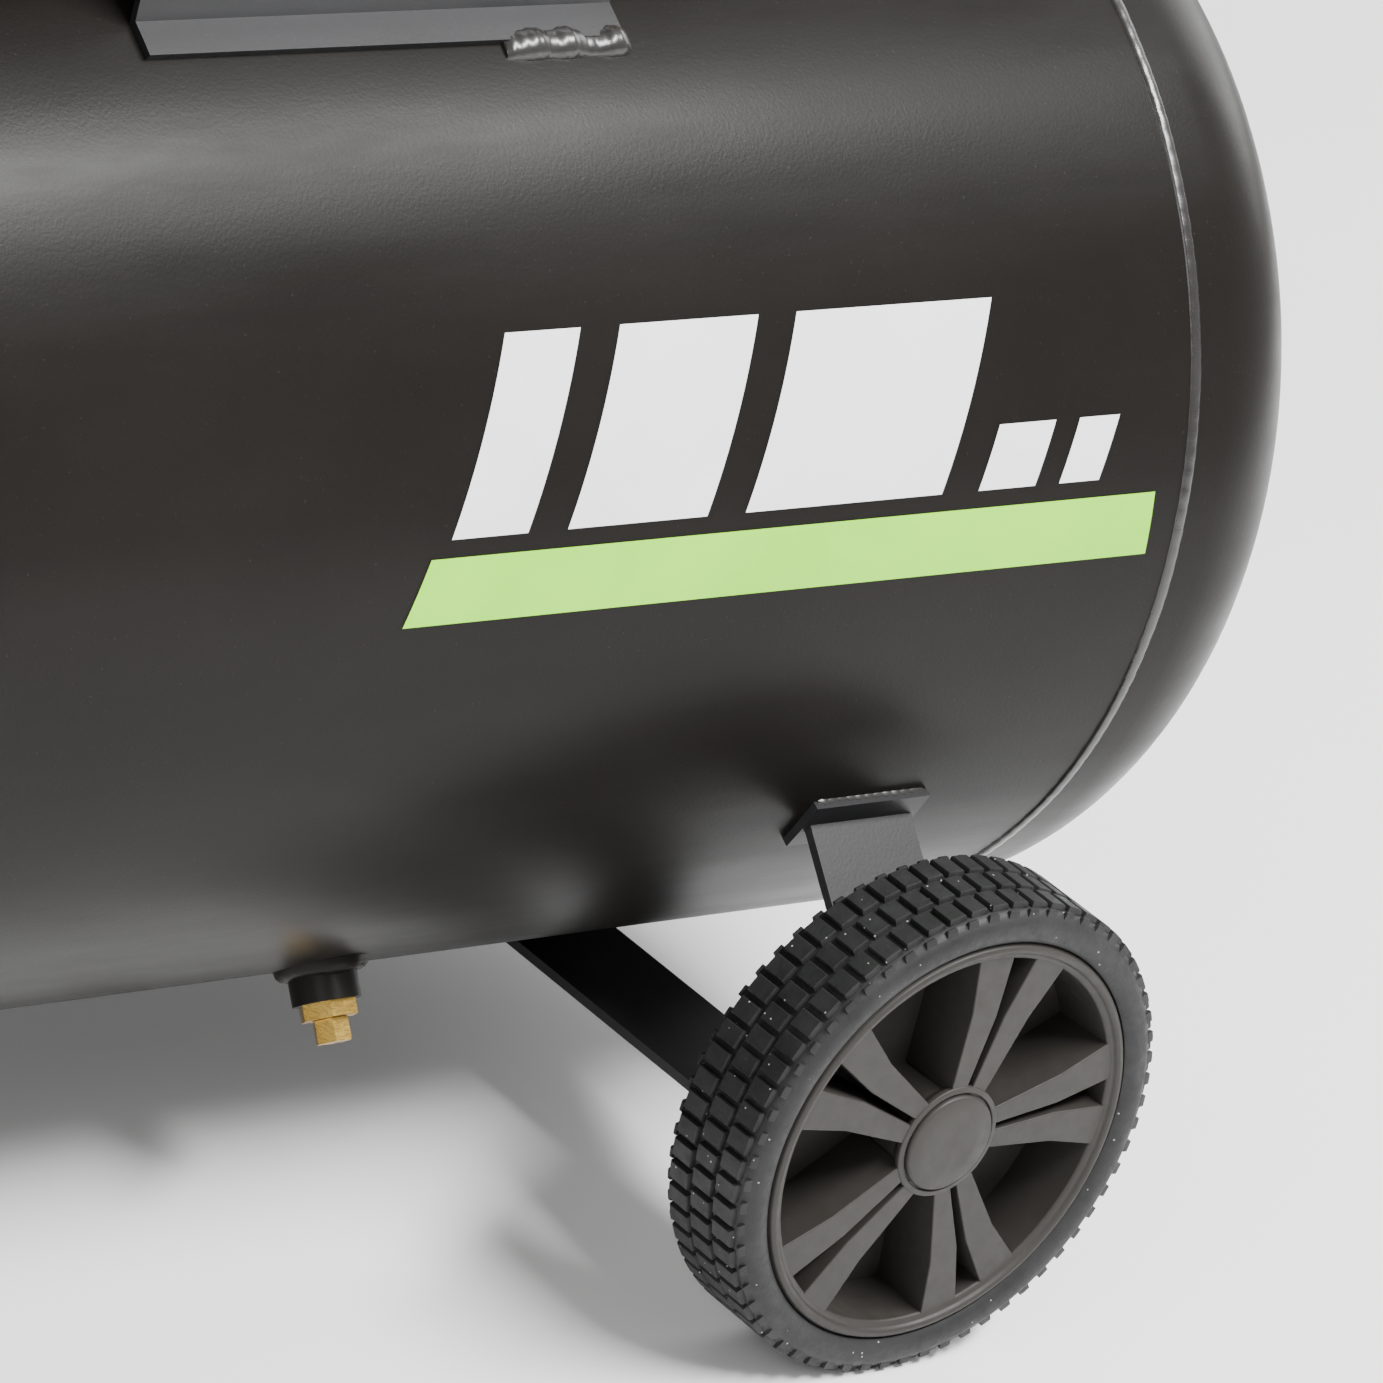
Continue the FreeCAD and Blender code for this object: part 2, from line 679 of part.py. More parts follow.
def make_saddles():
    saddles = []
    for label, x in (("saddle_left", S.motor_x), ("saddle_right", S.pump_x)):
        body = new_body(label)
        slab(body, label + "_fold", "YZ", [saddle_loop()], 0, S.saddle_len)
        half_x = S.window_x / 2
        half_y = S.window_y / 2
        pocket(body, label + "_window", "XY", [box_loop(-half_x, -half_y, half_x, half_y)],
               S.saddle_top, S.sheet_t * 4)
        saddles.append(place(body, x, 0, S.axis_z))
    node(grouped("saddles", saddles))


def four(x, y):
    return [(sx * x, sy * y) for sx in (-1, 1) for sy in (-1, 1)]


def make_platform():
    body = new_body("platform")
    half = S.deck_len / 2
    slab(body, "platform_plate", "XY", [box_loop(-half, -S.deck_half_w, half, S.deck_half_w)],
         -S.deck_t / 2, S.deck_t)
    hole = S.bolt_r + S.bolt_fit
    holes = []
    bolts = ((S.pump_x, S.pump_bolt_x, S.pump_bolt_y), (S.motor_x, S.motor_foot_x, S.motor_foot_y))
    for centre, x, y in bolts:
        holes += [circle(centre - S.deck_x + u, v, hole) for u, v in four(x, y)]
    pocket(body, "platform_holes", "XY", holes, -S.deck_t / 2, S.deck_t * 2)
    node(place(body, S.deck_x, 0, DECK_Z))


def pad_loop():
    """The pad at the end of a strap, wrapped on the receiver."""
    low = S.leg_deg - S.pad_span
    high = S.leg_deg + S.pad_span
    outer = S.tank_r + S.pad_t
    return [
        under_tank(low) + (S.tank_r,),
        under_tank(high),
        under_tank(high, outer) + (-outer,),
        under_tank(low, outer),
    ]


def strap_half():
    """Corners of the bracket strap on one side, from the receiver down to its bottom."""
    middle = S.tank_r + S.pad_t / 2
    spread = S.strap_t / S.tank_r * 30
    high_y, high_z = under_tank(S.leg_deg + spread, middle)
    low_y, low_z = under_tank(S.leg_deg - spread, middle)
    inner_y = S.strap_y - S.strap_t
    outside = [
        (high_y, high_z),
        (S.strap_y, high_z - (S.strap_y - high_y)),
        (S.strap_y, -S.tank_r - S.strap_t),
    ]
    inside = [
        (inner_y, -S.tank_r),
        (inner_y, low_z - (inner_y - low_y)),
        (low_y, low_z),
    ]
    return outside, inside


def make_wheel_bracket():
    body = new_body("wheel_bracket")
    outside, inside = strap_half()
    loop = outside + mirrored(outside)[::-1] + mirrored(inside)[::-1] + inside
    slab(body, "strap", "YZ", [loop], 0, S.strap_w)
    slab(body, "strap_pads", "YZ", [pad_loop(), mirrored(pad_loop())], 0, S.pad_w)
    pocket(body, "axle_holes", "XZ", [circle(0, S.wheel_r - S.axis_z, S.axle_r + S.bolt_fit)],
           0, S.strap_y * 3)
    node(place(body, S.wheel_x, 0, S.axis_z))


def make_foot_bracket():
    body = new_body("foot_bracket")
    inner = S.foot_half - S.strap_t
    low = S.foot_h
    outer_z = S.axis_z - root(S.tank_r * S.tank_r - S.foot_half * S.foot_half)
    inner_z = S.axis_z - root(S.tank_r * S.tank_r - inner * inner)
    half = [(inner, low + S.strap_t), (inner, inner_z, S.tank_r), (S.foot_half, outer_z), (S.foot_half, low)]
    back = [
        (-S.foot_half, low),
        (-S.foot_half, outer_z, S.tank_r),
        (-inner, inner_z),
        (-inner, low + S.strap_t),
    ]
    slab(body, "foot_strap", "YZ", [half + back], 0, S.strap_w)
    holes = [circle(0, side * S.foot_y, S.bolt_r + S.bolt_fit) for side in (-1, 1)]
    pocket(body, "foot_holes", "XY", holes, S.foot_h, S.strap_t * 4)
    node(place(body, S.foot_x, 0, 0))


def make_rubber_feet():
    feet = []
    for word, side in (("front", -1), ("back", 1)):
        loop = [
            (S.bolt_r, S.foot_h / 3),
            (S.bolt_corner_r + 3, S.foot_h / 3),
            (S.bolt_corner_r + 3, 0),
            (S.foot_r, 0),
            (S.foot_r * 0.8, S.foot_h),
            (S.bolt_r, S.foot_h),
        ]
        feet.append(place(turned("foot_" + word, [loop]), S.foot_x, S.foot_y * side, 0))
    node(grouped("rubber_feet", feet))


def tube_path(corners, bend):
    """Corners of a path with square turns, each rounded by the bend radius."""
    path = [corners[0]]
    for before, here, after in zip(corners, corners[1:], corners[2:]):
        ways = []
        for other in (before, after):
            gap = [dim(other[k]).value - dim(here[k]).value for k in (0, 1)]
            size = math.hypot(*gap)
            ways.append([round(g / size) for g in gap])
        left = ways[0][0] * ways[1][1] - ways[0][1] * ways[1][0] < 0
        path.append((here[0] + bend * ways[0][0], here[1] + bend * ways[0][1], bend if left else -bend))
        path.append((here[0] + bend * ways[1][0], here[1] + bend * ways[1][1]))
    return path + [corners[-1]]


def sweep(body, name, plane, corners, bend, profile_plane, loops, level):
    """A pipe along square-cornered path in one origin plane of the body."""
    spine = body.newObject("Sketcher::SketchObject", name + "_path")
    for feature in body.Origin.OriginFeatures:
        if feature.Role == plane + "_Plane":
            spine.AttachmentSupport = [(feature, "")]
    spine.MapMode = "FlatFace"
    chain(spine, tube_path([tuple(dim(size) for size in corner) for corner in corners], bend), closed=False)
    profile = draw(body, name + "_section", profile_plane, loops, level)
    pipe = body.newObject("PartDesign::AdditivePipe", name)
    pipe.Profile = profile
    pipe.Spine = (spine, ["Edge%d" % (k + 1) for k in range(spine.GeometryCount)])
    return pipe


def make_handle():
    tilt = Rotation(Vector(0, 1, 0), 180 + S.handle_deg.value)
    body = new_body("handle_bent")
    corners = [(0, -S.handle_y), (S.handle_reach, -S.handle_y), (S.handle_reach, S.handle_y), (0, S.handle_y)]
    loops = [circle(-S.handle_y, 0, S.tube_r), circle(-S.handle_y, 0, S.tube_r - S.tube_wall)]
    sweep(body, "handle_sweep", "XY", corners, S.handle_bend, "YZ", loops, 0)
    place(body, S.handle_x, 0, S.handle_z, tilt)
    node(cut("handle_tube", body, [tank_solid("handle_trim")]))
    grip = turned("handle_grip", [ring_loop(S.tube_r, S.grip_r, -S.grip_len / 2, S.grip_len / 2)])
    node(place(grip, S.handle_x - S.handle_reach * cosine(S.handle_deg), 0,
               S.handle_z + S.handle_reach * sine(S.handle_deg), TO_BACK))


# ---------------------------------------------------------------- wheels


def tyre_loop():
    """Section of a solid tyre: flat sides, rounded shoulders, three grooves in the tread."""
    half = S.wheel_w / 2
    flat = S.wheel_w / 3
    low = S.wheel_r - S.tread_d
    loop = [
        (S.rim_r, -half * 0.8),
        (S.rim_r + 4, -half),
        (S.wheel_r - 6, -half, half - flat),
        (S.wheel_r, -flat),
    ]
    for centre in (-0.5, 0, 0.5):
        loop += [
            (S.wheel_r, flat * centre - S.tread_d / 2),
            (low, flat * centre - S.tread_d / 2),
            (low, flat * centre + S.tread_d / 2),
            (S.wheel_r, flat * centre + S.tread_d / 2),
        ]
    return loop + [
        (S.wheel_r, flat, half - flat),
        (S.wheel_r - 6, half),
        (S.rim_r + 4, half),
        (S.rim_r, half * 0.8),
    ]


def spoke_loop():
    """One arm of a twin spoke, beside the line at v = 0: it opens out past a kink."""
    kink = (S.hub_r + S.rim_inner_r) / 2
    near = S.hub_r - 3
    far = S.rim_inner_r + 2
    return [(near, 1), (kink, 3), (far, 11), (far, 27), (kink, 18), (near, 8)]


def make_wheel(word, side):
    rotation = TO_FRONT if side < 0 else TO_BACK
    y = S.wheel_y * side
    half = S.wheel_w / 2
    node(place(turned("tyre_" + word, [tyre_loop()]), S.wheel_x, y, S.wheel_r, rotation))

    body = new_body("wheel_" + word)
    hub_face = half - 3
    hub_back = S.strap_y - S.wheel_y + 2.4 + S.gap
    recess = hub_face - 10
    turn(body, "wheel_%s_barrel" % word, [ring_loop(S.rim_inner_r, S.rim_r, -half * 0.9, half * 0.9)])
    slab(body, "wheel_%s_web" % word, "XY", [circle(0, 0, S.rim_inner_r + 2), circle(0, 0, S.hub_r - 3)],
         -S.web_back, S.wheel_web_t)
    arm = slab(body, "wheel_%s_arms" % word, "XY", [spoke_loop(), [(u, -dim(v)) for u, v in spoke_loop()]],
               half - 10, 10)
    around(body, arm, S.spoke_pairs)
    hub = turn(body, "wheel_%s_hub" % word, [[
        (S.axle_r + S.run_fit, hub_back),
        (S.hub_r, hub_back),
        (S.hub_r, hub_face),
        (S.recess_r, hub_face),
        (S.recess_r, recess),
        (S.axle_r + S.run_fit, recess),
    ]])
    body.Tip = hub
    node(place(body, S.wheel_x, y, S.wheel_r, rotation))

    cap = turned("hub_cap_" + word, [[
        (0, half + S.cap_proud),
        (0, half - 1),
        (S.recess_r - 2.5, half - 1),
        (S.recess_r - 2.5, hub_face - 4),
        (S.recess_r, hub_face - 4),
        (S.recess_r, hub_face),
        (S.cap_r, hub_face),
        (S.cap_r, half + S.cap_proud - 1, 1),
        (S.cap_r - 1, half + S.cap_proud),
    ]])
    node(place(cap, S.wheel_x, y, S.wheel_r, rotation))


def make_axles():
    """Shoulder bolts, washers and nuts that hold the wheels to the uprights."""
    pieces = []
    recess = S.wheel_w / 2 - 13
    washer_t = 2.4
    nut_t = dim(10)
    for word, side, rotation in (("front", -1, TO_FRONT), ("back", 1, TO_BACK)):
        start = S.strap_y - S.strap_t - nut_t - 2
        reach = S.wheel_y + recess + S.gap - start
        shank = place(cylinder("axle_shank_" + word, S.axle_r, reach), S.wheel_x, start * side,
                      S.wheel_r, rotation)
        head = place(hexagon("axle_head_" + word, S.axle_r + 4, 6), S.wheel_x, (start + reach) * side,
                     S.wheel_r, rotation)
        pieces.append(fused("axle_bolt_" + word, [shank, head]))
        washer = turned("axle_washer_" + word, [ring_loop(S.axle_r, S.axle_r + 5, 0, washer_t)])
        pieces.append(place(washer, S.wheel_x, S.strap_y * side, S.wheel_r, rotation))
        blank = place(hexagon("axle_nut_blank_" + word, S.axle_r + 6, nut_t), S.wheel_x,
                      (S.strap_y - S.strap_t - nut_t) * side, S.wheel_r, rotation)
        hole = place(cylinder("axle_nut_hole_" + word, S.axle_r, nut_t * 3), S.wheel_x, start * side,
                     S.wheel_r, rotation)
        pieces.append(cut("axle_nut_" + word, blank, [hole]))
    node(grouped("axle_fasteners", pieces))


# ---------------------------------------------------------------- pump


def on_shaft(thing, x, y=0, rotation=UPRIGHT):
    return place(thing, x, y, SHAFT_Z, rotation)


def between(body, name, plane, loops, low, high, kind="Pad"):
    low = dim(low)
    high = dim(high)
    return slab(body, name, plane, loops, (low + high) / 2, high - low, kind)


def centred_box(half_u, half_v):
    return box_loop(-half_u, -half_v, half_u, half_v)


def make_crankcase():
    body = new_body("crankcase")
    inner_x = S.case_x - S.case_wall
    inner_y = S.case_y - S.case_wall
    between(body, "case_block", "XY", [centred_box(S.case_x, S.case_y)], -S.case_low, S.case_high)
    between(body, "case_foot", "XY", [centred_box(S.pump_foot_x, S.pump_foot_y)], -S.crank_rise, -S.case_low)
    between(body, "case_flange", "XY", [centred_box(HEAD_X, HEAD_Y)], S.case_high - S.flange_t, S.case_high)
    between(body, "case_hub", "XZ", [circle(0, 0, S.hub_boss_r)], S.case_y, S.case_y + S.hub_boss_len)
    between(body, "case_room", "XY", [centred_box(inner_x, inner_y)], -S.case_low + S.case_wall,
            S.case_high + 1, "Pocket")
    between(body, "case_back_bore", "XZ", [circle(0, 0, S.journal_r + S.run_fit)], 0,
            S.case_y + S.hub_boss_len + 1, "Pocket")
    between(body, "case_front_bore", "XZ", [circle(0, 0, S.spigot_r), circle(0, SIGHT_Z, S.sight_r)],
            -S.case_y - 1, 0, "Pocket")
    between(body, "case_fill_bore", "YZ", [circle(0, S.filler_z, S.filler_r)], 0, S.case_x + 1, "Pocket")
    holes = [circle(u, v, S.bolt_r + S.bolt_fit) for u, v in four(S.pump_bolt_x, S.pump_bolt_y)]
    between(body, "case_foot_holes", "XY", holes, -S.crank_rise - 1, -S.case_low + 1, "Pocket")
    node(on_shaft(body, S.pump_x))


def make_crankcase_cover():
    cover = turned("crankcase_cover", [[
        (S.front_journal_r + S.run_fit, -S.case_wall),
        (S.spigot_r, -S.case_wall),
        (S.spigot_r, 0),
        (S.cover_r, 0),
        (S.cover_r, S.cover_t),
        (S.cover_boss_r, S.cover_t),
        (S.cover_boss_r, S.cover_len),
        (0, S.cover_len),
        (0, S.cover_len - S.cover_t / 2),
        (S.front_journal_r + S.run_fit, S.cover_len - S.cover_t / 2),
    ]])
    node(on_shaft(cover, S.pump_x, -S.case_y, TO_FRONT))


def make_case_fittings():
    glass = turned("sight_glass", [[
        (0, -S.case_wall / 2), (S.sight_r, -S.case_wall / 2), (S.sight_r, 0), (S.sight_r + 3, 0),
        (S.sight_r + 3, 3), (S.sight_r, 4), (0, 4),
    ]])
    node(place(glass, S.pump_x, -S.case_y, SHAFT_Z + SIGHT_Z, TO_FRONT))
    plug_r = S.filler_r - S.run_fit
    plug = turned("oil_filler", [[
        (0, -S.case_wall), (plug_r, -S.case_wall), (plug_r, S.gap), (S.filler_r + 4, S.gap),
        (S.filler_r + 4, 4), (S.filler_r, 5), (S.filler_r, 18), (0, 18),
    ]])
    node(place(plug, S.pump_x + S.case_x, 0, SHAFT_Z + S.filler_z, TO_X))


def make_crankshaft():
    body = new_body("crankshaft")
    pin_low = S.bore_y - S.pin_half
    pin_high = S.bore_y + S.pin_half
    web_high = pin_high + S.web_t
    between(body, "middle_web", "XZ", [circle(0, 0, S.web_r)], -pin_low, pin_low)
    for word, side in (("front", -1), ("back", 1)):
        pin = circle(0, -side * S.throw, S.pin_r)
        for name, loop, start, stop in (
            ("pin_", pin, pin_low, pin_high),
            ("web_", circle(0, 0, S.web_r), pin_high, web_high),
        ):
            low, high = sorted((side * start, side * stop), key=lambda size: size.value)
            between(body, name + word, "XZ", [loop], low, high)
    nose = S.case_y + S.cover_len - S.cover_t
    between(body, "journal_front", "XZ", [circle(0, 0, S.front_journal_r)], -nose, -web_high)
    between(body, "journal_back", "XZ", [circle(0, 0, S.journal_r)], web_high, S.belt_y + FLY_HALF_HUB)
    node(on_shaft(body, S.pump_x))


def make_rods_and_pistons():
    for word, side in (("front", -1), ("back", 1)):
        y = S.bore_y * side
        pin_z = SHAFT_Z - side * S.throw
        rod = new_body("con_rod_" + word)
        wide = (S.pin_half - S.gap * 3) * 2
        slab(rod, "big_end_" + word, "XZ", [circle(0, 0, S.pin_r + S.rod_wall)], 0, wide)
        slab(rod, "shank_" + word, "XZ", [box_loop(-6, 0, 6, S.rod_len)], 0, 10)
        slab(rod, "small_end_" + word, "XZ", [circle(0, S.rod_len, S.small_end_r)], 0, 14)
        bores = [circle(0, 0, S.pin_r + S.run_fit), circle(0, S.rod_len, S.small_end_r - 4)]
        pocket(rod, "rod_bores_" + word, "XZ", bores, 0, wide * 2)
        node(place(rod, S.pump_x, y, pin_z))

        outer = S.bore_r - S.run_fit
        inner = outer - S.skirt_t
        top = S.small_end_r + S.throw * 2 + S.head_space + S.crown_t
        piston = turned("piston_" + word, [[
            (inner, -S.small_end_r - S.skirt_low), (outer, -S.small_end_r - S.skirt_low),
            (outer, top), (0, top),
            (0, top - S.crown_t), (inner, top - S.crown_t),
        ]])
        node(place(piston, S.pump_x, y, pin_z + S.rod_len))


def head_bolt_spots():
    near = HEAD_BOLT_Y / 3
    return [(u, v) for u in (-HEAD_BOLT_X, HEAD_BOLT_X) for v in (-HEAD_BOLT_Y, -near, near, HEAD_BOLT_Y)]


def make_cylinder_block():
    body = new_body("cylinder_block")
    half_x = S.bore_r + S.block_wall
    half_y = S.bore_y + S.bore_r + S.block_wall
    between(body, "block_core", "XY", [centred_box(half_x, half_y)], S.case_high, BLOCK_TOP)
    for name, low in (("block_foot", S.case_high), ("block_top", BLOCK_TOP - S.flange_t)):
        between(body, name, "XY", [centred_box(HEAD_X, HEAD_Y)], low, low + S.flange_t)
    pitch = (BLOCK_H - S.flange_t * 2) / (S.fin_count + 1)
    start = S.case_high + S.flange_t + pitch
    plate = centred_box(half_x + S.fin_out, half_y + S.fin_out)
    fins = slab(body, "block_fin", "XY", [plate], start, S.fin_t)
    in_row(body, fins, "N_Axis", pitch, S.fin_count)
    bores = [circle(0, side * S.bore_y, S.bore_r) for side in (-1, 1)]
    between(body, "block_bores", "XY", bores, S.case_high - 1, BLOCK_TOP + 1, "Pocket")
    threads = [circle(u, v, S.bolt_r) for u, v in head_bolt_spots()]
    between(body, "block_threads", "XY", threads, BLOCK_TOP - S.thread_len, BLOCK_TOP + 1, "Pocket")
    node(on_shaft(body, S.pump_x))


def make_cylinder_head():
    body = new_body("cylinder_head")
    slab_top = BLOCK_TOP + S.head_slab
    between(body, "head_slab", "XY", [centred_box(HEAD_X, HEAD_Y)], BLOCK_TOP, slab_top)
    fin_y = HEAD_Y - S.fin_t
    pitch = fin_y * 2 / (S.head_fins - 1)
    half_t = S.fin_t / 2
    fin_half_x = HEAD_BOLT_X - S.bolt_corner_r - 2
    fin = between(body, "head_fin", "XY", [box_loop(-fin_half_x, -fin_y - half_t, fin_half_x, -fin_y + half_t)],
                  slab_top - 1, BLOCK_TOP + S.head_h)
    in_row(body, fin, "V_Axis", pitch, S.head_fins)
    half_y = S.bore_y + S.bore_r * 0.7
    rooms = [
        box_loop(-S.room_far, -half_y, -S.room_near, half_y),
        box_loop(S.room_near, -half_y, S.room_far, half_y),
    ]
    between(body, "head_rooms", "XY", rooms, BLOCK_TOP - 1, slab_top - S.crown_t, "Pocket")
    holes = [circle(u, v, S.bolt_r + S.bolt_fit) for u, v in head_bolt_spots()]
    between(body, "head_holes", "XY", holes, BLOCK_TOP - 1, slab_top + 1, "Pocket")
    inlets = [circle(side * S.bore_y, PORT_LEVEL, S.neck_r) for side in (-1, 1)]
    between(body, "head_inlets", "YZ", inlets, -HEAD_X - 1, -S.room_near, "Pocket")
    between(body, "head_outlet", "YZ", [circle(0, PORT_LEVEL, S.pipe_r)], S.room_near, HEAD_X + 1, "Pocket")
    node(on_shaft(body, S.pump_x))


def make_air_filters():
    filters = []
    start = S.fin_out + S.gap * 4
    end = start + S.filter_len
    for word, side in (("front", -1), ("back", 1)):
        can = turned("air_filter_" + word, [[
            (S.neck_r - 2, -S.case_wall), (S.neck_r, -S.case_wall), (S.neck_r, start),
            (S.filter_r - 3, start), (S.filter_r, start + 3), (S.filter_r, end - 6, 6),
            (S.filter_r - 6, end), (0, end), (0, end - 2), (S.filter_r - 6, end - 2),
            (S.filter_r - 2, end - 6), (S.filter_r - 2, start + 3), (S.neck_r - 2, start + 3),
        ]])
        filters.append(place(can, S.pump_x - HEAD_X, S.bore_y * side, SHAFT_Z + PORT_LEVEL, TO_MINUS_X))
    node(grouped("air_filters", filters))


# ---------------------------------------------------------------- belt drive


def groove(pitch_r, side):
    """Corners of a V groove from one rim edge to its floor, on one side of the belt plane."""
    lean = (S.belt_w - S.belt_low_w) / (S.belt_h * 2)
    rim = pitch_r + S.belt_h / 2 + 1
    floor = rim - S.groove_d
    middle = (S.belt_w + S.belt_low_w) / 4 + S.gap
    return (
        (rim, side * (middle + lean * (rim - pitch_r))),
        (floor, side * (middle + lean * (floor - pitch_r))),
    )


def make_pulleys():
    half = S.fly_w / 2
    rim = S.fly_pitch_r + S.belt_h / 2 + 1
    inner = rim - S.groove_d - S.rim_wall
    fly = new_body("flywheel")
    turn(fly, "fly_rim", [[
        (inner, -half), (rim, -half), *groove(S.fly_pitch_r, -1), *groove(S.fly_pitch_r, 1)[::-1],
        (rim, half), (inner, half),
    ]])
    spoke = between(fly, "fly_spoke", "XY", [[
        (S.fly_hub_r - 4, -S.spoke_w / 2), (inner + 2, -S.spoke_w), (inner + 2, S.spoke_w),
        (S.fly_hub_r - 4, S.spoke_w / 2),
    ]], -S.spoke_t / 2, S.spoke_t / 2)
    around(fly, spoke, S.fly_spokes)
    turn(fly, "fly_hub", [ring_loop(S.journal_r, S.fly_hub_r, -FLY_HALF_HUB, FLY_HALF_HUB)])
    pocket(fly, "fly_bore", "XY", [circle(0, 0, S.journal_r)], 0, S.fly_w * 3)
    node(on_shaft(fly, S.pump_x, S.belt_y, TO_BACK))

    half = S.pulley_w / 2
    rim = S.pulley_pitch_r + S.belt_h / 2 + 1
    pulley = turned("motor_pulley", [[
        (S.shaft_r, -half), (rim, -half), *groove(S.pulley_pitch_r, -1), *groove(S.pulley_pitch_r, 1)[::-1],
        (rim, half), (S.shaft_r, half),
    ]])
    node(on_shaft(pulley, S.motor_x, S.belt_y, TO_BACK))


def loop_round_shafts(fly_r, pulley_r):
    """A closed path round both shafts, from the right of the crank; crank axis at (0, 0)."""
    apart = S.pump_x - S.motor_x
    lean = (fly_r - pulley_r) / apart
    rise = root(1 - lean * lean)
    return [
        (fly_r, 0, fly_r),
        (-(fly_r * lean), fly_r * rise),
        (-(apart + pulley_r * lean), pulley_r * rise, pulley_r),
        (-(apart + pulley_r * lean), -(pulley_r * rise)),
        (-(fly_r * lean), -(fly_r * rise), fly_r),
    ]


def make_belt():
    body = new_body("v_belt")
    spine = draw(body, "belt_path", "XZ", [loop_round_shafts(S.fly_pitch_r, S.pulley_pitch_r)])
    half = S.belt_h / 2
    section = draw(body, "belt_section", "XY", [[
        (S.fly_pitch_r - half, -S.belt_low_w / 2), (S.fly_pitch_r + half, -S.belt_w / 2),
        (S.fly_pitch_r + half, S.belt_w / 2), (S.fly_pitch_r - half, S.belt_low_w / 2),
    ]])
    pipe = body.newObject("PartDesign::AdditivePipe", "belt_sweep")
    pipe.Profile = section
    pipe.Spine = (spine, ["Edge%d" % (k + 1) for k in range(spine.GeometryCount)])
    node(on_shaft(body, S.pump_x, S.belt_y))


def make_guard():
    """Belt guard: a deep tray, open toward the pump, with two feet on the platform."""
    body = new_body("belt_guard")
    fly_r = S.fly_pitch_r + S.belt_h / 2 + 1 + S.guard_gap
    pulley_r = S.pulley_pitch_r + S.belt_h / 2 + 1 + S.guard_gap
    near = S.belt_y - S.fly_w / 2 - S.guard_gap
    far = near + S.guard_w
    outside = loop_round_shafts(fly_r + S.guard_t, pulley_r + S.guard_t)
    between(body, "guard_outer", "XZ", [outside], near, far)
    inside = loop_round_shafts(fly_r, pulley_r)
    between(body, "guard_room", "XZ", [inside], near - 1, far - S.guard_t, "Pocket")
    apart = S.pump_x - S.motor_x
    lean = (fly_r - pulley_r) / apart
    rise = root(1 - lean * lean)
    share = (fly_r * rise - S.crank_rise) / ((fly_r - pulley_r) * rise)
    left = -(fly_r * lean) - share * (apart - (fly_r - pulley_r) * lean)
    right = root(fly_r * fly_r - S.crank_rise * S.crank_rise)
    feet = [
        box_loop(left - S.tab_len * 0.4, S.tab_y, left + S.tab_len * 0.6, near + S.guard_t),
        box_loop(right - S.tab_len, S.tab_y, right + S.guard_t / 2, near + S.guard_t),
    ]
    between(body, "guard_feet", "XY", feet, -S.crank_rise, -S.crank_rise + S.sheet_t)
    middle = (S.fly_hub_r + fly_r) / 2
    slot = between(body, "guard_slot", "XZ", [box_loop(middle - S.slot_reach, -S.slot_w / 2,
                                                       middle + S.slot_reach, S.slot_w / 2)],
                   far - S.guard_t * 2, far + 1, "Pocket")
    around(body, slot, S.guard_slots)
    node(on_shaft(body, S.pump_x))


# ---------------------------------------------------------------- motor


def make_motor():
    body = new_body("motor_housing")
    bore = S.shaft_r + S.run_fit
    inner = S.motor_r - S.motor_wall
    turn(body, "motor_shell", [[
        (bore, -S.motor_front), (S.motor_r, -S.motor_front), (S.motor_r, S.motor_back), (bore, S.motor_back),
        (bore, S.motor_back - S.motor_wall), (inner, S.motor_back - S.motor_wall),
        (inner, -S.motor_front + S.motor_wall), (bore, -S.motor_front + S.motor_wall),
    ]])
    half_t = S.fin_t / 2
    rib = box_loop(S.motor_r - 1, -half_t, S.motor_r + S.motor_fin, half_t)
    fin = between(body, "motor_fin_pad", "XY", [rib], -S.motor_front + S.motor_wall, S.motor_back - S.motor_wall)
    around(body, fin, S.motor_fins)
    foot_y = S.motor_foot_y + S.motor_wall
    # in the body, +Y is down
    stand = box_loop(-S.motor_r * 0.65, inner + 4, S.motor_r * 0.65, S.crank_rise)
    between(body, "motor_stand", "XY", [stand], -foot_y, foot_y)
    plate = box_loop(-S.motor_foot_x - S.motor_wall, S.crank_rise - S.flange_t,
                     S.motor_foot_x + S.motor_wall, S.crank_rise)
    between(body, "motor_feet", "XY", [plate], -foot_y, foot_y)
    seat = box_loop(-S.box_x / 2, -BOX_SEAT, S.box_x / 2, -inner - 4)
    between(body, "motor_box_seat", "XY", [seat], -S.box_y / 2, S.box_y / 2)
    holes = [circle(u, v, S.bolt_r + S.bolt_fit) for u, v in four(S.motor_foot_x, S.motor_foot_y)]
    between(body, "motor_foot_holes", "XZ", holes, S.crank_rise - S.flange_t * 2, S.crank_rise + 1, "Pocket")
    node(on_shaft(body, S.motor_x, 0, TO_BACK))

    back = S.motor_back - S.motor_wall - S.rotor_room
    front = S.motor_front - S.motor_wall - S.rotor_room
    rotor = turned("rotor", [[
        (0, -S.motor_front - S.cowl_len * 0.6), (S.shaft_r, -S.motor_front - S.cowl_len * 0.6),
        (S.shaft_r, -front), (S.rotor_r, -front), (S.rotor_r, back), (S.shaft_r, back),
        (S.shaft_r, S.belt_y + S.pulley_w / 2 + 3), (0, S.belt_y + S.pulley_w / 2 + 3),
    ]])
    node(on_shaft(rotor, S.motor_x, 0, TO_BACK))


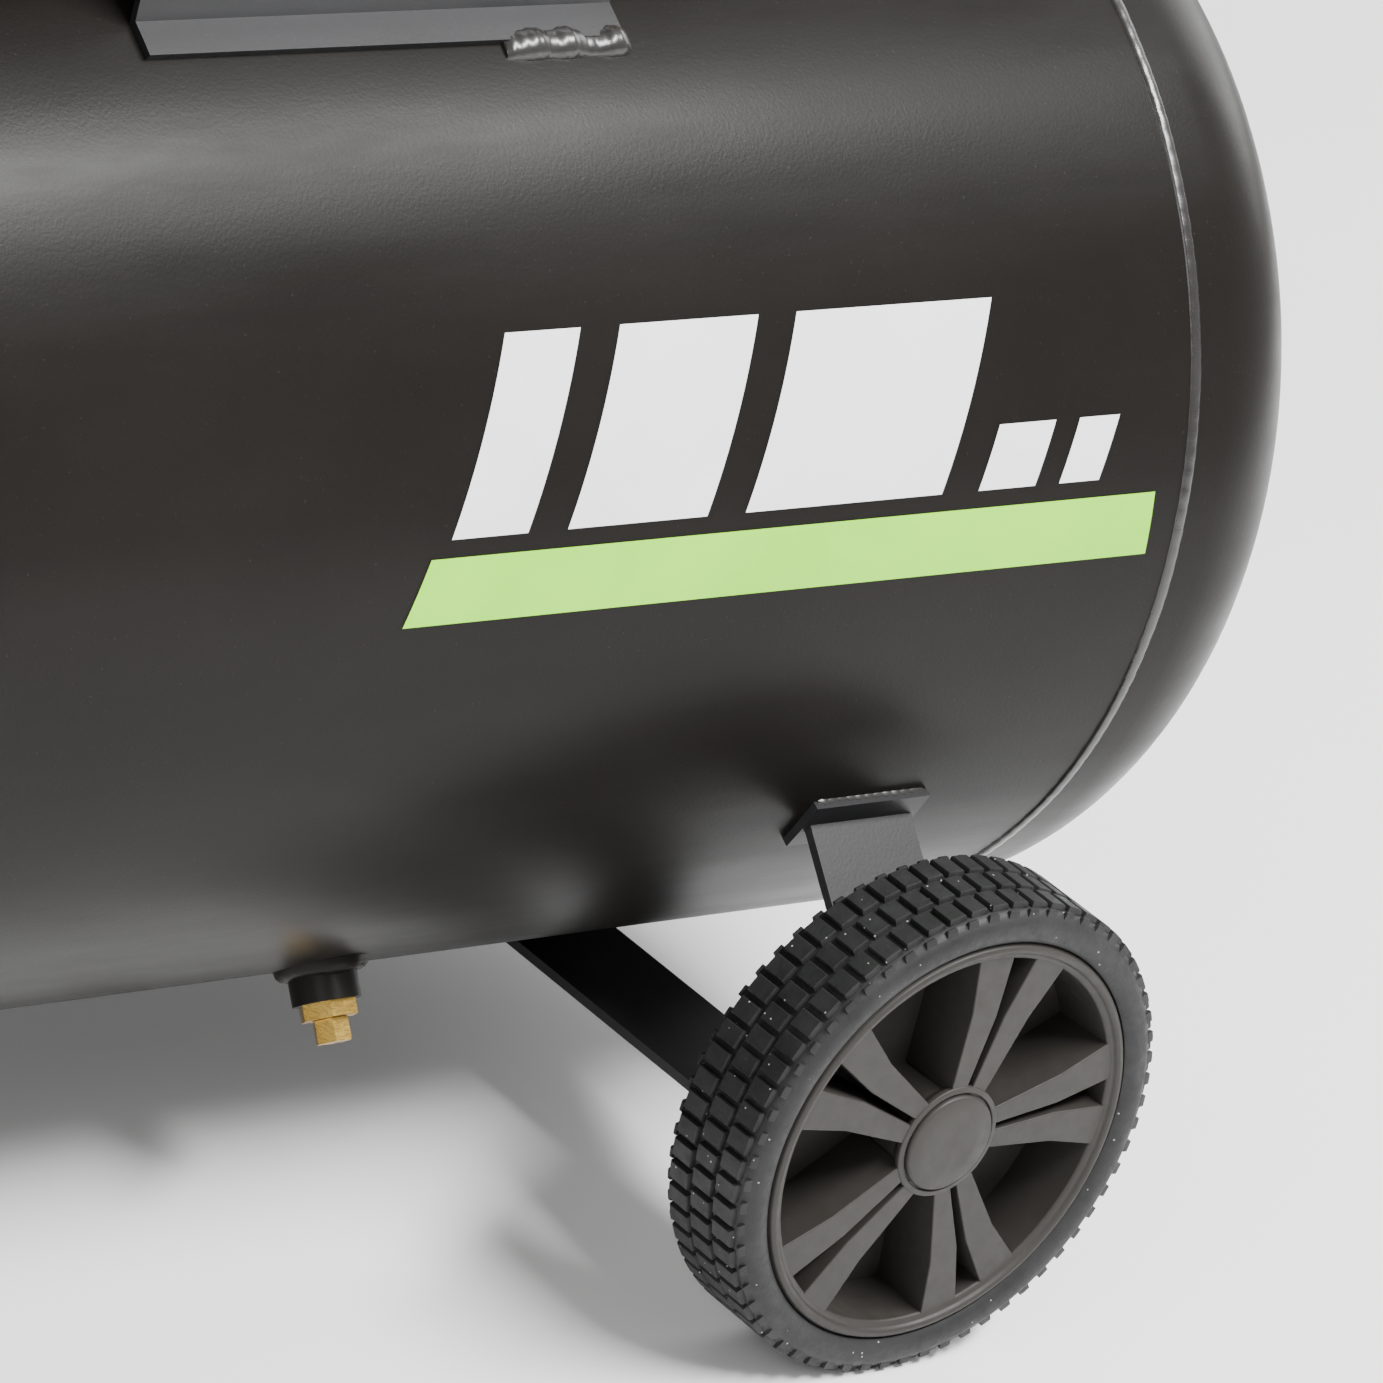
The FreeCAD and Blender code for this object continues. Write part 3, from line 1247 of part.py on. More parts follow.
def make_cowl():
    body = new_body("fan_cowl")
    end = -S.motor_front - S.cowl_len
    lip = -S.motor_front + S.motor_wall / 2
    inner = S.cowl_r - S.guard_t
    turn(body, "cowl_cup", [[
        (S.shaft_r, end),
        (S.cowl_r - 5, end),
        (S.cowl_r, end + 5),
        (S.cowl_r, lip),
        (S.motor_r, lip),
        (S.motor_r, lip - S.motor_wall),
        (inner, lip - S.motor_wall),
        (inner, end + 5),
        (inner - 4, end + S.guard_t),
        (S.shaft_r, end + S.guard_t),
    ]])
    slot = between(body, "cowl_slot", "XY", [box_loop(S.shaft_r * 2, -S.slot_w / 2, inner - 8, S.slot_w / 2)],
                   end - 1, end + S.guard_t + 1, "Pocket")
    around(body, slot, S.cowl_slots)
    node(on_shaft(body, S.motor_x, 0, TO_BACK))


def make_terminal_box():
    body = new_body("terminal_box")
    half_x = S.box_x / 2
    half_y = S.box_y / 2
    between(body, "box_outer", "XY", [centred_box(half_x, half_y)], 0, S.box_z)
    between(body, "box_gland", "YZ", [circle(0, S.box_z / 2, S.gland_r)], half_x - 1, half_x + S.gland_len)
    between(body, "box_room", "XY", [centred_box(half_x - 3, half_y - 3)], -1, S.box_z - 3, "Pocket")
    between(body, "box_cable_bore", "YZ", [circle(0, S.box_z / 2, S.gland_r - 3)], 0,
            half_x + S.gland_len + 1, "Pocket")
    between(body, "box_button_bore", "XZ", [circle(0, S.box_z / 2, S.button_r + S.gap)],
            -half_y - 1, 0, "Pocket")
    node(on_shaft(body, S.motor_x))
    bind(body, "Placement.Base.z", SHAFT_Z + BOX_SEAT)
    button = turned("overload_button", [[
        (0, -8), (S.button_r + 2, -8), (S.button_r + 2, -3 - S.gap), (S.button_r, -3 - S.gap),
        (S.button_r, 4), (S.button_r - 1, 5), (0, 5),
    ]])
    node(place(button, S.motor_x, -half_y, SHAFT_Z + BOX_SEAT + S.box_z / 2, TO_FRONT))


# ---------------------------------------------------------------- air fittings


def hex_loop(corner_r):
    half = corner_r / 2
    side = corner_r * cosine(dim(30))
    return [(corner_r, 0), (half, side), (-half, side), (-corner_r, 0), (-half, -side), (half, -side)]


def make_check_valve():
    body = new_body("check_valve")
    turn(body, "valve_barrel", [[
        (S.thin_r, -S.boss_rise), (S.port_r, -S.boss_rise), (S.port_r, 0), (S.boss_r - 3, 0),
        (S.boss_r - 3, S.valve_h - 8), (S.pipe_r + 2, S.valve_h - 8),
        (S.pipe_r + 2, S.valve_h), (S.thin_r, S.valve_h),
    ]])
    between(body, "valve_hex", "XY", [hex_loop(S.boss_r), circle(0, 0, S.thin_r)], 0, S.valve_h / 2)
    level = S.valve_h * 0.4
    between(body, "valve_side", "YZ", [circle(0, level, S.thin_r * 2)], S.boss_r - 4, S.boss_r + S.side_len)
    between(body, "valve_side_bore", "YZ", [circle(0, level, S.thin_r)], S.boss_r - 2,
            S.boss_r + S.side_len + 1, "Pocket")
    node(place(body, S.valve_x, 0, BOSS_TOP))


def make_delivery_pipe():
    body = new_body("delivery_pipe")
    start = S.valve_x - S.pump_x - HEAD_X + 6
    drop = SHAFT_Z + PORT_LEVEL - BOSS_TOP - S.valve_h
    corners = [(-start, 0), (0, 0), (0, -drop)]
    ring = [circle(0, 0, S.pipe_r), circle(0, 0, S.pipe_bore)]
    sweep(body, "delivery_sweep", "XZ", corners, S.pipe_bend, "YZ", ring, -start)
    nut = [hex_loop(S.pipe_r + 5), circle(0, 0, S.pipe_r - 0.5)]
    between(body, "delivery_head_nut", "YZ", nut, -start + 6, -start + 18)
    between(body, "delivery_valve_nut", "XY", nut, -drop, -drop + 14)
    node(place(body, S.valve_x, 0, SHAFT_Z + PORT_LEVEL))


def make_unloader_pipe():
    body = new_body("unloader_pipe")
    level = BOSS_TOP + S.valve_h * 0.4
    start = S.boss_r - 1
    end = S.manifold_x - S.valve_x - S.switch_half - S.nub_len + 2
    rise = SWITCH_Z + S.neck_h + S.switch_base_h / 2 - level
    middle = (start + end + S.side_len) / 2
    corners = [(start, 0), (middle, 0), (middle, rise), (end, rise)]
    ring = [circle(0, 0, S.thin_r), circle(0, 0, S.thin_bore)]
    sweep(body, "unloader_sweep", "XZ", corners, S.thin_bend, "YZ", ring, start)
    node(place(body, S.valve_x, 0, level))


def make_manifold():
    body = new_body("manifold")
    half = S.block_half
    bore = S.port_r - 3
    turn(body, "manifold_stem", [[
        (0, -half - S.stem_rise - S.boss_rise), (S.port_r, -half - S.stem_rise - S.boss_rise),
        (S.port_r, -half - S.stem_rise), (S.port_r + 2, -half - S.stem_rise),
        (S.port_r + 2, -half + 1), (0, -half + 1),
    ]])
    between(body, "manifold_cube", "XY", [centred_box(half, half)], -half, half)
    between(body, "manifold_bore", "XY", [circle(0, 0, bore)], -half - S.stem_rise - S.boss_rise - 1,
            half + 1, "Pocket")
    between(body, "manifold_cross", "XZ", [circle(0, 0, bore)], -half - 1, half + 1, "Pocket")
    between(body, "manifold_outlet", "YZ", [circle(0, 0, bore)], 0, half + 1, "Pocket")
    node(place(body, S.manifold_x, 0, PORT_Z))


def make_pressure_switch():
    half = S.switch_half
    low = S.neck_h
    high = low + S.switch_base_h
    base = new_body("switch_base")
    bore = S.port_r - 3
    between(base, "switch_neck", "XY", [circle(0, 0, S.port_r + 2)], 0, low)
    between(base, "switch_plate", "XY", [centred_box(half, half)], low, high)
    level = low + S.switch_base_h / 2
    between(base, "switch_nub", "YZ", [circle(0, level, S.gland_r)], -half - S.nub_len, -half + 1)
    glands = [circle(side * half / 2, level, S.gland_r) for side in (-1, 1)]
    between(base, "switch_glands", "XZ", glands, half - 1, half + S.gland_len)
    cables = [circle(side * half / 2, level, S.gland_r - 3) for side in (-1, 1)]
    between(base, "switch_cable_bores", "XZ", cables, half - 6, half + S.gland_len + 1, "Pocket")
    between(base, "switch_bore", "XY", [circle(0, 0, bore)], -1, high - 4, "Pocket")
    between(base, "switch_nub_bore", "YZ", [circle(0, level, S.thin_r)],
            -half - S.nub_len - 1, -half, "Pocket")
    node(place(base, S.manifold_x, 0, SWITCH_Z))

    top = high + S.switch_cover_h
    cover = new_body("switch_cover")
    between(cover, "cover_shell", "XY", [centred_box(half - 1, half - 1)], high, top)
    between(cover, "cover_room", "XY", [centred_box(half - 4, half - 4)], high - 1, top - 3, "Pocket")
    between(cover, "cover_knob_bore", "XY", [circle(0, 0, S.knob_stem_r + S.run_fit)],
            top - 5, top + 1, "Pocket")
    node(place(cover, S.manifold_x, 0, SWITCH_Z))
    knob = turned("switch_knob", [[
        (0, -12), (S.knob_stem_r, -12), (S.knob_stem_r, S.gap), (S.knob_r * 0.75, S.gap),
        (S.knob_r * 0.7, 8), (0, 8),
    ]])
    between(knob, "switch_knob_bar", "XY", [centred_box(S.knob_r * 0.65, 3)], 7, 18)
    node(place(knob, S.manifold_x, 0, SWITCH_Z + top))


def make_gauge():
    front = S.gauge_stem + S.gauge_d
    back = S.gauge_stem
    inner = S.gauge_r - 2
    post = dim(1.5)
    case = turned("gauge_case", [[
        (post + 1, -8), (S.port_r - 3, -8), (S.port_r - 3, back), (S.gauge_r - 3, back), (S.gauge_r, back + 3),
        (S.gauge_r, front), (inner, front), (inner, back + 3), (post + 1, back + 3),
    ]])
    dial = turned("gauge_dial", [ring_loop(post + S.run_fit, inner, back + 3, back + 4)])
    lens = turned("gauge_lens", [ring_loop(0, inner, front - 3, front - 1)])
    needle = new_body("gauge_needle")
    between(needle, "needle_post", "XY", [circle(0, 0, post)], back + 2, back + 6)
    between(needle, "needle_hub", "XY", [circle(0, 0, 3)], back + 4 + S.gap, back + 6)
    low = post / 2
    tail = S.gauge_r * 0.25
    tip = S.gauge_r * 0.75
    arm = [(-tail, -low), (-tail, low), (tip, low / 2), (tip, -low / 2)]
    between(needle, "needle_arm", "XY", [arm[::-1]], back + 4 + S.gap * 2, back + 5.5)
    for piece in (case, dial, lens):
        node(place(piece, S.manifold_x, -S.block_half, PORT_Z, TO_FRONT))
    # the needle rests at zero, low on the left of the dial
    rest = TO_FRONT.multiply(Rotation(Vector(0, 0, 1), 225))
    node(place(needle, S.manifold_x, -S.block_half, PORT_Z, rest))


def make_regulator():
    body = new_body("regulator_body")
    reach = S.block_half + S.neck_len
    inlet = S.manifold_x + S.block_half - REG_X
    between(body, "regulator_pot", "XY", [circle(0, 0, S.block_half)], -S.pot_low, S.pot_high)
    between(body, "regulator_neck", "YZ", [circle(0, 0, S.port_r)], inlet, reach)
    between(body, "regulator_nipple", "YZ", [circle(0, 0, S.port_r - 3)], inlet - 8, inlet + 1)
    between(body, "regulator_bore", "YZ", [circle(0, 0, S.thin_r)], inlet - 9, reach + 1, "Pocket")
    between(body, "regulator_knob_bore", "XY", [circle(0, 0, S.knob_stem_r + S.run_fit)], S.pot_high - 10,
            S.pot_high + 1, "Pocket")
    node(place(body, REG_X, 0, PORT_Z))
    knob = new_body("regulator_knob")
    turn(knob, "regulator_knob_turn", [[
        (0, -9), (S.knob_stem_r, -9), (S.knob_stem_r, S.gap), (S.knob_r, S.gap), (S.knob_r, S.knob_h - 3, 3),
        (S.knob_r - 3, S.knob_h), (0, S.knob_h),
    ]])
    rib = between(knob, "regulator_knob_rib", "XY", [box_loop(S.knob_r - 1, -1, S.knob_r + 1, 1)],
                  3, S.knob_h - 4)
    around(knob, rib, S.knob_ribs)
    node(place(knob, REG_X, 0, PORT_Z + S.pot_high))


def make_outlet():
    body = new_body("outlet_coupling")
    length = S.coupler_len
    barrel = S.port_r
    turn(body, "coupler_barrel", [[
        (S.plug_r, 0), (barrel, 0), (barrel, length - 3), (barrel - 1, length), (S.plug_r, length),
    ]])
    between(body, "coupler_hex", "XY", [hex_loop(barrel + 5), circle(0, 0, S.plug_r)], 0, S.neck_len)
    node(place(body, OUTLET_X, 0, PORT_Z, TO_X))
    sleeve = turned("coupling_sleeve", [[
        (barrel + S.run_fit, 0), (barrel + 4, 0), (barrel + 4, 6), (barrel + 3, 7), (barrel + 3, 9), (barrel + 4, 10),
        (barrel + 4, S.sleeve_len), (barrel + S.run_fit, S.sleeve_len),
    ]])
    start = length - S.sleeve_len - 2
    node(place(sleeve, OUTLET_X + start, 0, PORT_Z, TO_X))


def make_safety_valve():
    body = new_body("safety_valve")
    nose = S.port_r - 3
    barrel = S.safety_len
    stem = dim(2)
    turn(body, "safety_barrel", [[
        (0, -8), (nose, -8), (nose, 0), (nose + 3, 0), (nose + 3, barrel - 4), (nose, barrel), (0, barrel),
    ]])
    between(body, "safety_hex", "XY", [hex_loop(nose + 6)], 0, 9)
    between(body, "safety_stem_bore", "XY", [circle(0, 0, stem + S.run_fit)],
            barrel / 2, barrel + 1, "Pocket")
    node(place(body, S.manifold_x, S.block_half, PORT_Z, TO_BACK))
    ring_r = S.ring_r
    rod = cylinder("ring_stem", stem, barrel / 2 + 6)
    place(rod, S.manifold_x, S.block_half + barrel / 2 + 1, PORT_Z, TO_BACK)
    ring = doc.addObject("Part::Torus", "ring_loop")
    bind(ring, "Radius1", ring_r)
    bind(ring, "Radius2", dim(1.3))
    place(ring, S.manifold_x, S.block_half + barrel + 6.5 + ring_r, PORT_Z, TO_X)
    node(fused("safety_ring", [rod, ring]))


def make_drain():
    tip = S.tank_r + S.drain_boss_rise
    axis = TO_DRAIN.multVec(Vector(0, 0, 1))
    body = new_body("drain_valve")
    thread = S.drain_bore
    turn(body, "drain_thread", [[
        (S.thin_r, -S.boss_rise), (thread, -S.boss_rise), (thread, 0), (thread + 3, 0), (thread + 3, 6), (S.thin_r, 6),
    ]])
    between(body, "drain_hex", "XY", [hex_loop(S.drain_hex_r), circle(0, 0, thread)], 0, 6)
    screw = new_body("drain_screw")
    between(screw, "screw_stem", "XY", [circle(0, 0, S.thin_r - S.run_fit)], -S.boss_rise, 7)
    between(screw, "screw_hex", "XY", [hex_loop(S.drain_screw_r)], 6 + S.gap, 6 + S.drain_screw_h)
    for piece in (body, screw):
        node(place(piece, S.drain_x, tip * axis.y, S.axis_z + tip * axis.z, TO_DRAIN))


# ---------------------------------------------------------------- bolts


def bolt(label, x, y, seat, length):
    """A hex bolt that hangs from its seat, head up."""
    shank = place(cylinder(label + "_shank", S.bolt_r, length), x, y, dim(seat) - length)
    head = place(hexagon(label + "_head", S.bolt_corner_r, S.bolt_head_h), x, y, seat)
    return fused(label, [shank, head])


def nut(label, x, y, under):
    blank = place(hexagon(label + "_blank", S.bolt_corner_r, S.nut_h), x, y, under - S.nut_h)
    hole = place(cylinder(label + "_thread", S.bolt_r, S.nut_h * 3), x, y, under - S.nut_h * 2)
    return cut(label, blank, [hole])


def make_bolts():
    pieces = []
    through = S.deck_t + S.nut_h + 2
    sets = (
        ("pump", S.pump_x, S.pump_bolt_x, S.pump_bolt_y, S.pump_foot_t),
        ("motor", S.motor_x, S.motor_foot_x, S.motor_foot_y, S.flange_t),
    )
    for word, centre, u, v, thick in sets:
        for count, (x, y) in enumerate(four(u, v)):
            label = "%s_bolt_%d" % (word, count + 1)
            pieces.append(bolt(label, centre + x, y, DECK_Z + thick, thick + through))
            pieces.append(nut(label + "_nut", centre + x, y, DECK_Z - S.deck_t))
    for count, (x, y) in enumerate(head_bolt_spots()):
        pieces.append(bolt("head_bolt_%d" % (count + 1), S.pump_x + x, y, SHAFT_Z + BLOCK_TOP + S.head_slab,
                           S.head_slab + S.thread_len))
    for word, side in (("front", -1), ("back", 1)):
        y = S.foot_y * side
        label = "foot_bolt_" + word
        top = S.foot_h + S.strap_t
        pieces.append(bolt(label, S.foot_x, y, top, top - S.foot_h / 3 + S.nut_h))
        pieces.append(nut(label + "_nut", S.foot_x, y, S.foot_h / 3))
    node(grouped("hex_bolts", pieces))


make_shell()
make_heads()
make_seam_welds()
make_bosses()
make_saddles()
make_platform()
make_wheel_bracket()
make_foot_bracket()
make_rubber_feet()
make_handle()
make_wheel("front", -1)
make_wheel("back", 1)
make_axles()
make_crankcase()
make_crankcase_cover()
make_case_fittings()
make_crankshaft()
make_rods_and_pistons()
make_cylinder_block()
make_cylinder_head()
make_air_filters()
make_pulleys()
make_belt()
make_guard()
make_motor()
make_cowl()
make_terminal_box()
make_check_valve()
make_delivery_pipe()
make_unloader_pipe()
make_manifold()
make_pressure_switch()
make_gauge()
make_regulator()
make_outlet()
make_safety_valve()
make_drain()
make_bolts()
doc.recompute()


def write_steps():
    for thing in NODES:
        if "Invalid" in thing.State or "Error" in thing.State:
            raise RuntimeError("%s did not build" % thing.Label)
        if thing.Shape.isNull() or not thing.Shape.isValid():
            raise RuntimeError("%s has a bad shape" % thing.Label)
        thing.Shape.exportStep(os.path.join("parts", thing.Label + ".step"))


write_steps()
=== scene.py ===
"""Looks of the belt-driven air compressor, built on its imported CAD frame. Metres."""
import math

import bmesh
import bpy
from mathutils import Matrix, Vector, noise


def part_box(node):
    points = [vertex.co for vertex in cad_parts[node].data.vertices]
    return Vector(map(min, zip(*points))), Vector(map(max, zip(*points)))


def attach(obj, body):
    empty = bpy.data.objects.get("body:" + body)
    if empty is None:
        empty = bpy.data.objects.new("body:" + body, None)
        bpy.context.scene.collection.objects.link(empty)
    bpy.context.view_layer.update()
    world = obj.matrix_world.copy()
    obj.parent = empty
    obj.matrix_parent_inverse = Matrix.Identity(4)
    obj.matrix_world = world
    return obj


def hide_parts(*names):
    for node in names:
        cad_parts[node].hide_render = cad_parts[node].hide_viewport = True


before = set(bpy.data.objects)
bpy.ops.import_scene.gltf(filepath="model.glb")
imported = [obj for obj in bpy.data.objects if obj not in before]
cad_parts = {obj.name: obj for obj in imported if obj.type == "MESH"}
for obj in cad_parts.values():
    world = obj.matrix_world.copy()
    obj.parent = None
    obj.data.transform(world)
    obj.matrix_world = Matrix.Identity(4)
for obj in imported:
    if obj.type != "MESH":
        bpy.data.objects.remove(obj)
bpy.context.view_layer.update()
MM = 0.001

# ---------------------------------------------------------------- places read from the frame

TANK_LOW, TANK_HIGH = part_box("tank_shell")
TANK_R = (TANK_HIGH.z - TANK_LOW.z) / 2
TANK = Vector(((TANK_LOW.x + TANK_HIGH.x) / 2, 0, (TANK_LOW.z + TANK_HIGH.z) / 2))
SEAM_X = TANK_HIGH.x


def middle(node):
    """The centre of a node's box."""
    low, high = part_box(node)
    return (low + high) / 2


SIDES = (("front", -1), ("back", 1))
WHEEL = {word: middle("tyre_" + word) for word, side in SIDES}
WHEEL_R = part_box("tyre_front")[1].z / 2
WHEEL_HALF = (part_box("tyre_front")[1].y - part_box("tyre_front")[0].y) / 2

# ---------------------------------------------------------------- sizes shared by the pieces below

FRONT = Vector((0, -1, 0))
UP = Vector((0, 0, 1))
TINY = 0.01 * MM          # stands in for a radius of nothing, so that a lathe stays open at its axis

BEAD_R = 84 * MM          # tyre on rim
TREAD_D = 2.4 * MM        # depth of the tread
LUGS = 62                 # tread blocks in one row
HUB_POCKET = 17 * MM      # pocket in the hub, behind the cap
SPOKE_PAIRS = 5
SPOKE_START = 8           # degrees from the wheel's horizontal to its first pair

CROWN_RATIO = 1.6         # crown and knuckle of a dished head, over the receiver's radius
KNUCKLE_RATIO = 0.308
HEAD_WALL = 3 * MM

SADDLE_LENGTH = 209 * MM
LIP_WELD = 54 * MM        # length of a saddle's lip weld, at its right end
TUBE_R = 14 * MM          # handle tube, its slope, and its distance from the middle
TUBE_SLOPE = math.radians(35)
TUBE_Y = 150 * MM

DIAL_START = 225          # degrees: the gauge's zero, and the sweep of its scale
DIAL_SWEEP = 270
DIAL_STEPS = 50
DIAL_NUMBERS = 5

# ---------------------------------------------------------------- material helpers


class Nodes:
    """A material's node tree, with short ways to add what the surfaces here need."""

    def __init__(self, name, **sockets):
        self.material = bpy.data.materials.new(name)
        self.material.use_nodes = True
        self.tree = self.material.node_tree
        self.shader = self.tree.nodes["Principled BSDF"]
        for socket, value in sockets.items():
            self.shader.inputs[socket.replace("_", " ")].default_value = value
        self.coords = self.tree.nodes.new("ShaderNodeTexCoord").outputs["Object"]

    def link(self, source, target):
        self.tree.links.new(source, target)

    def space(self, stretch):
        """Object coordinates, stretched."""
        mapping = self.tree.nodes.new("ShaderNodeMapping")
        mapping.inputs["Scale"].default_value = stretch
        self.link(self.coords, mapping.inputs["Vector"])
        return mapping.outputs["Vector"]

    def noise(self, scale, detail=4, rough=0.55, stretch=(1, 1, 1)):
        """Fractal noise, about 0.3 to 0.7."""
        node = self.tree.nodes.new("ShaderNodeTexNoise")
        node.inputs["Scale"].default_value = scale
        node.inputs["Detail"].default_value = detail
        node.inputs["Roughness"].default_value = rough
        self.link(self.space(stretch), node.inputs["Vector"])
        return node.outputs["Fac"]

    def cells(self, scale, stretch=(1, 1, 1)):
        """Distance to the nearest of many scattered points."""
        node = self.tree.nodes.new("ShaderNodeTexVoronoi")
        node.inputs["Scale"].default_value = scale
        self.link(self.space(stretch), node.inputs["Vector"])
        return node.outputs["Distance"]

    def spread(self, source, low, high, start=0.3, end=0.7):
        """The source's range from start to end, moved to low and high."""
        node = self.tree.nodes.new("ShaderNodeMapRange")
        node.inputs["From Min"].default_value = start
        node.inputs["From Max"].default_value = end
        node.inputs["To Min"].default_value = low
        node.inputs["To Max"].default_value = high
        self.link(source, node.inputs["Value"])
        return node.outputs["Result"]

    def mix(self, factor, first, second):
        """Two colours, each a tuple or a socket, mixed by a factor."""
        node = self.tree.nodes.new("ShaderNodeMix")
        node.data_type = "RGBA"
        self.link(factor, node.inputs["Factor"])
        for value, socket in ((first, node.inputs["A"]), (second, node.inputs["B"])):
            if isinstance(value, tuple):
                socket.default_value = value + (1.0,)
            else:
                self.link(value, socket)
        return node.outputs["Result"]

    def color(self, source):
        self.link(source, self.shader.inputs["Base Color"])

    def roughness(self, source):
        self.link(source, self.shader.inputs["Roughness"])

    def bump(self, *layers):
        """Layers of (height source, depth in metres), stacked into one normal."""
        below = None
        for source, depth in layers:
            node = self.tree.nodes.new("ShaderNodeBump")
            node.inputs["Strength"].default_value = 1.0
            node.inputs["Distance"].default_value = depth
            self.link(source, node.inputs["Height"])
            if below is not None:
                self.link(below, node.inputs["Normal"])
            below = node.outputs["Normal"]
        self.link(below, self.shader.inputs["Normal"])


def powder_coat(name, dark, light, gloss, grain=1.0, shine=0.22):
    """Satin powder coat: orange peel, slow waves along the rolling direction, faint dust."""
    n = Nodes(name, Specular_IOR_Level=shine)
    tone = n.mix(n.spread(n.noise(6, 5, 0.6), 0, 1), dark, light)
    dust = n.spread(n.noise(900, 2, 0.5), 0, 1, 0.68, 0.8)
    n.color(n.mix(dust, tone, tuple(c * 1.6 + 0.01 for c in light)))
    n.roughness(n.spread(n.noise(30, 4, 0.6, (0.2, 1, 1)), gloss - 0.05, gloss + 0.06))
    n.bump((n.noise(5, 2, 0.5, (0.25, 1, 1)), 0.0012), (n.noise(700, 2, 0.5), 0.00004 * grain))
    return n.material


def moulded_plastic(name, dark, light, gloss, grain=0.00004, shine=0.5):
    n = Nodes(name, Specular_IOR_Level=shine)
    n.color(n.mix(n.spread(n.noise(14, 4, 0.6), 0, 1), dark, light))
    n.roughness(n.spread(n.noise(160, 3, 0.6), gloss - 0.06, gloss + 0.08))
    n.bump((n.noise(1500, 3, 0.6), grain), (n.noise(40, 2, 0.5), 0.00008))
    return n.material


def tyre_rubber():
    """Hard black tread rubber with pale mould specks and a little dust in the grooves."""
    n = Nodes("tyre_rubber", Specular_IOR_Level=0.3)
    tone = n.mix(n.spread(n.noise(45, 5, 0.65), 0, 1), (0.009, 0.009, 0.0095), (0.019, 0.019, 0.0195))
    specks = n.spread(n.cells(190), 1, 0, 0.055, 0.085)
    n.color(n.mix(specks, tone, (0.34, 0.34, 0.35)))
    n.roughness(n.spread(n.noise(220, 4, 0.6), 0.48, 0.66))
    n.bump((n.noise(900, 4, 0.65), 0.00012), (n.noise(120, 3, 0.6), 0.0003))
    return n.material


def soft_rubber(name, tone=0.02):
    n = Nodes(name)
    n.color(n.mix(n.spread(n.noise(60, 4, 0.6), 0, 1), (tone * 0.7,) * 3, (tone * 1.5,) * 3))
    n.roughness(n.spread(n.noise(200, 3, 0.6), 0.55, 0.78))
    n.bump((n.noise(1100, 3, 0.6), 0.00008))
    return n.material


def ribbed_grip():
    """Moulded grip rubber with fine ribs round the tube."""
    n = Nodes("grip_rubber")
    n.color(n.mix(n.spread(n.noise(50, 4, 0.6), 0, 1), (0.012, 0.012, 0.0125), (0.024, 0.024, 0.025)))
    n.roughness(n.spread(n.noise(180, 3, 0.6), 0.55, 0.75))
    ribs = n.tree.nodes.new("ShaderNodeTexWave")
    ribs.bands_direction = "Y"
    ribs.inputs["Scale"].default_value = 70
    n.link(n.coords, ribs.inputs["Vector"])
    n.bump((ribs.outputs["Fac"], 0.0006), (n.noise(1100, 3, 0.6), 0.00006))
    return n.material


def casting(name, dark, light, gloss, metallic=0.0, sand=0.00022):
    """A sand casting, bare or painted: coarse skin with worn high spots."""
    n = Nodes(name, Metallic=metallic)
    n.color(n.mix(n.spread(n.noise(35, 6, 0.7), 0, 1), dark, light))
    n.roughness(n.spread(n.noise(120, 4, 0.6), gloss - 0.08, gloss + 0.1))
    n.bump((n.noise(330, 5, 0.7), sand), (n.noise(25, 2, 0.5), 0.0006))
    return n.material


def machined(name, dark, light, gloss, metallic=1.0, stretch=(1, 1, 8)):
    """Turned or drawn metal: fine streaks and a slightly uneven shine."""
    n = Nodes(name, Metallic=metallic)
    n.color(n.mix(n.spread(n.noise(55, 5, 0.6), 0, 1), dark, light))
    n.roughness(n.spread(n.noise(260, 4, 0.6, stretch), gloss - 0.08, gloss + 0.12))
    n.bump((n.noise(800, 3, 0.6, stretch), 0.00003))
    return n.material


def printed_film(name, dark, light):
    """Printed vinyl: even colour, low sheen, a trace of the coat's texture under it."""
    n = Nodes(name, Specular_IOR_Level=0.4)
    n.color(n.mix(n.spread(n.noise(25, 4, 0.6), 0, 1), dark, light))
    n.roughness(n.spread(n.noise(90, 3, 0.5), 0.38, 0.5))
    n.bump((n.noise(700, 2, 0.5), 0.00003), (n.noise(5, 2, 0.5, (0.25, 1, 1)), 0.001))
    return n.material


def clear_glass():
    n = Nodes("clear_glass", Transmission_Weight=1.0, IOR=1.46)
    n.color(n.mix(n.spread(n.noise(80, 3, 0.5), 0, 1), (0.95, 0.98, 0.97), (1.0, 1.0, 1.0)))
    n.roughness(n.spread(n.noise(300, 3, 0.5), 0.02, 0.06))
    return n.material


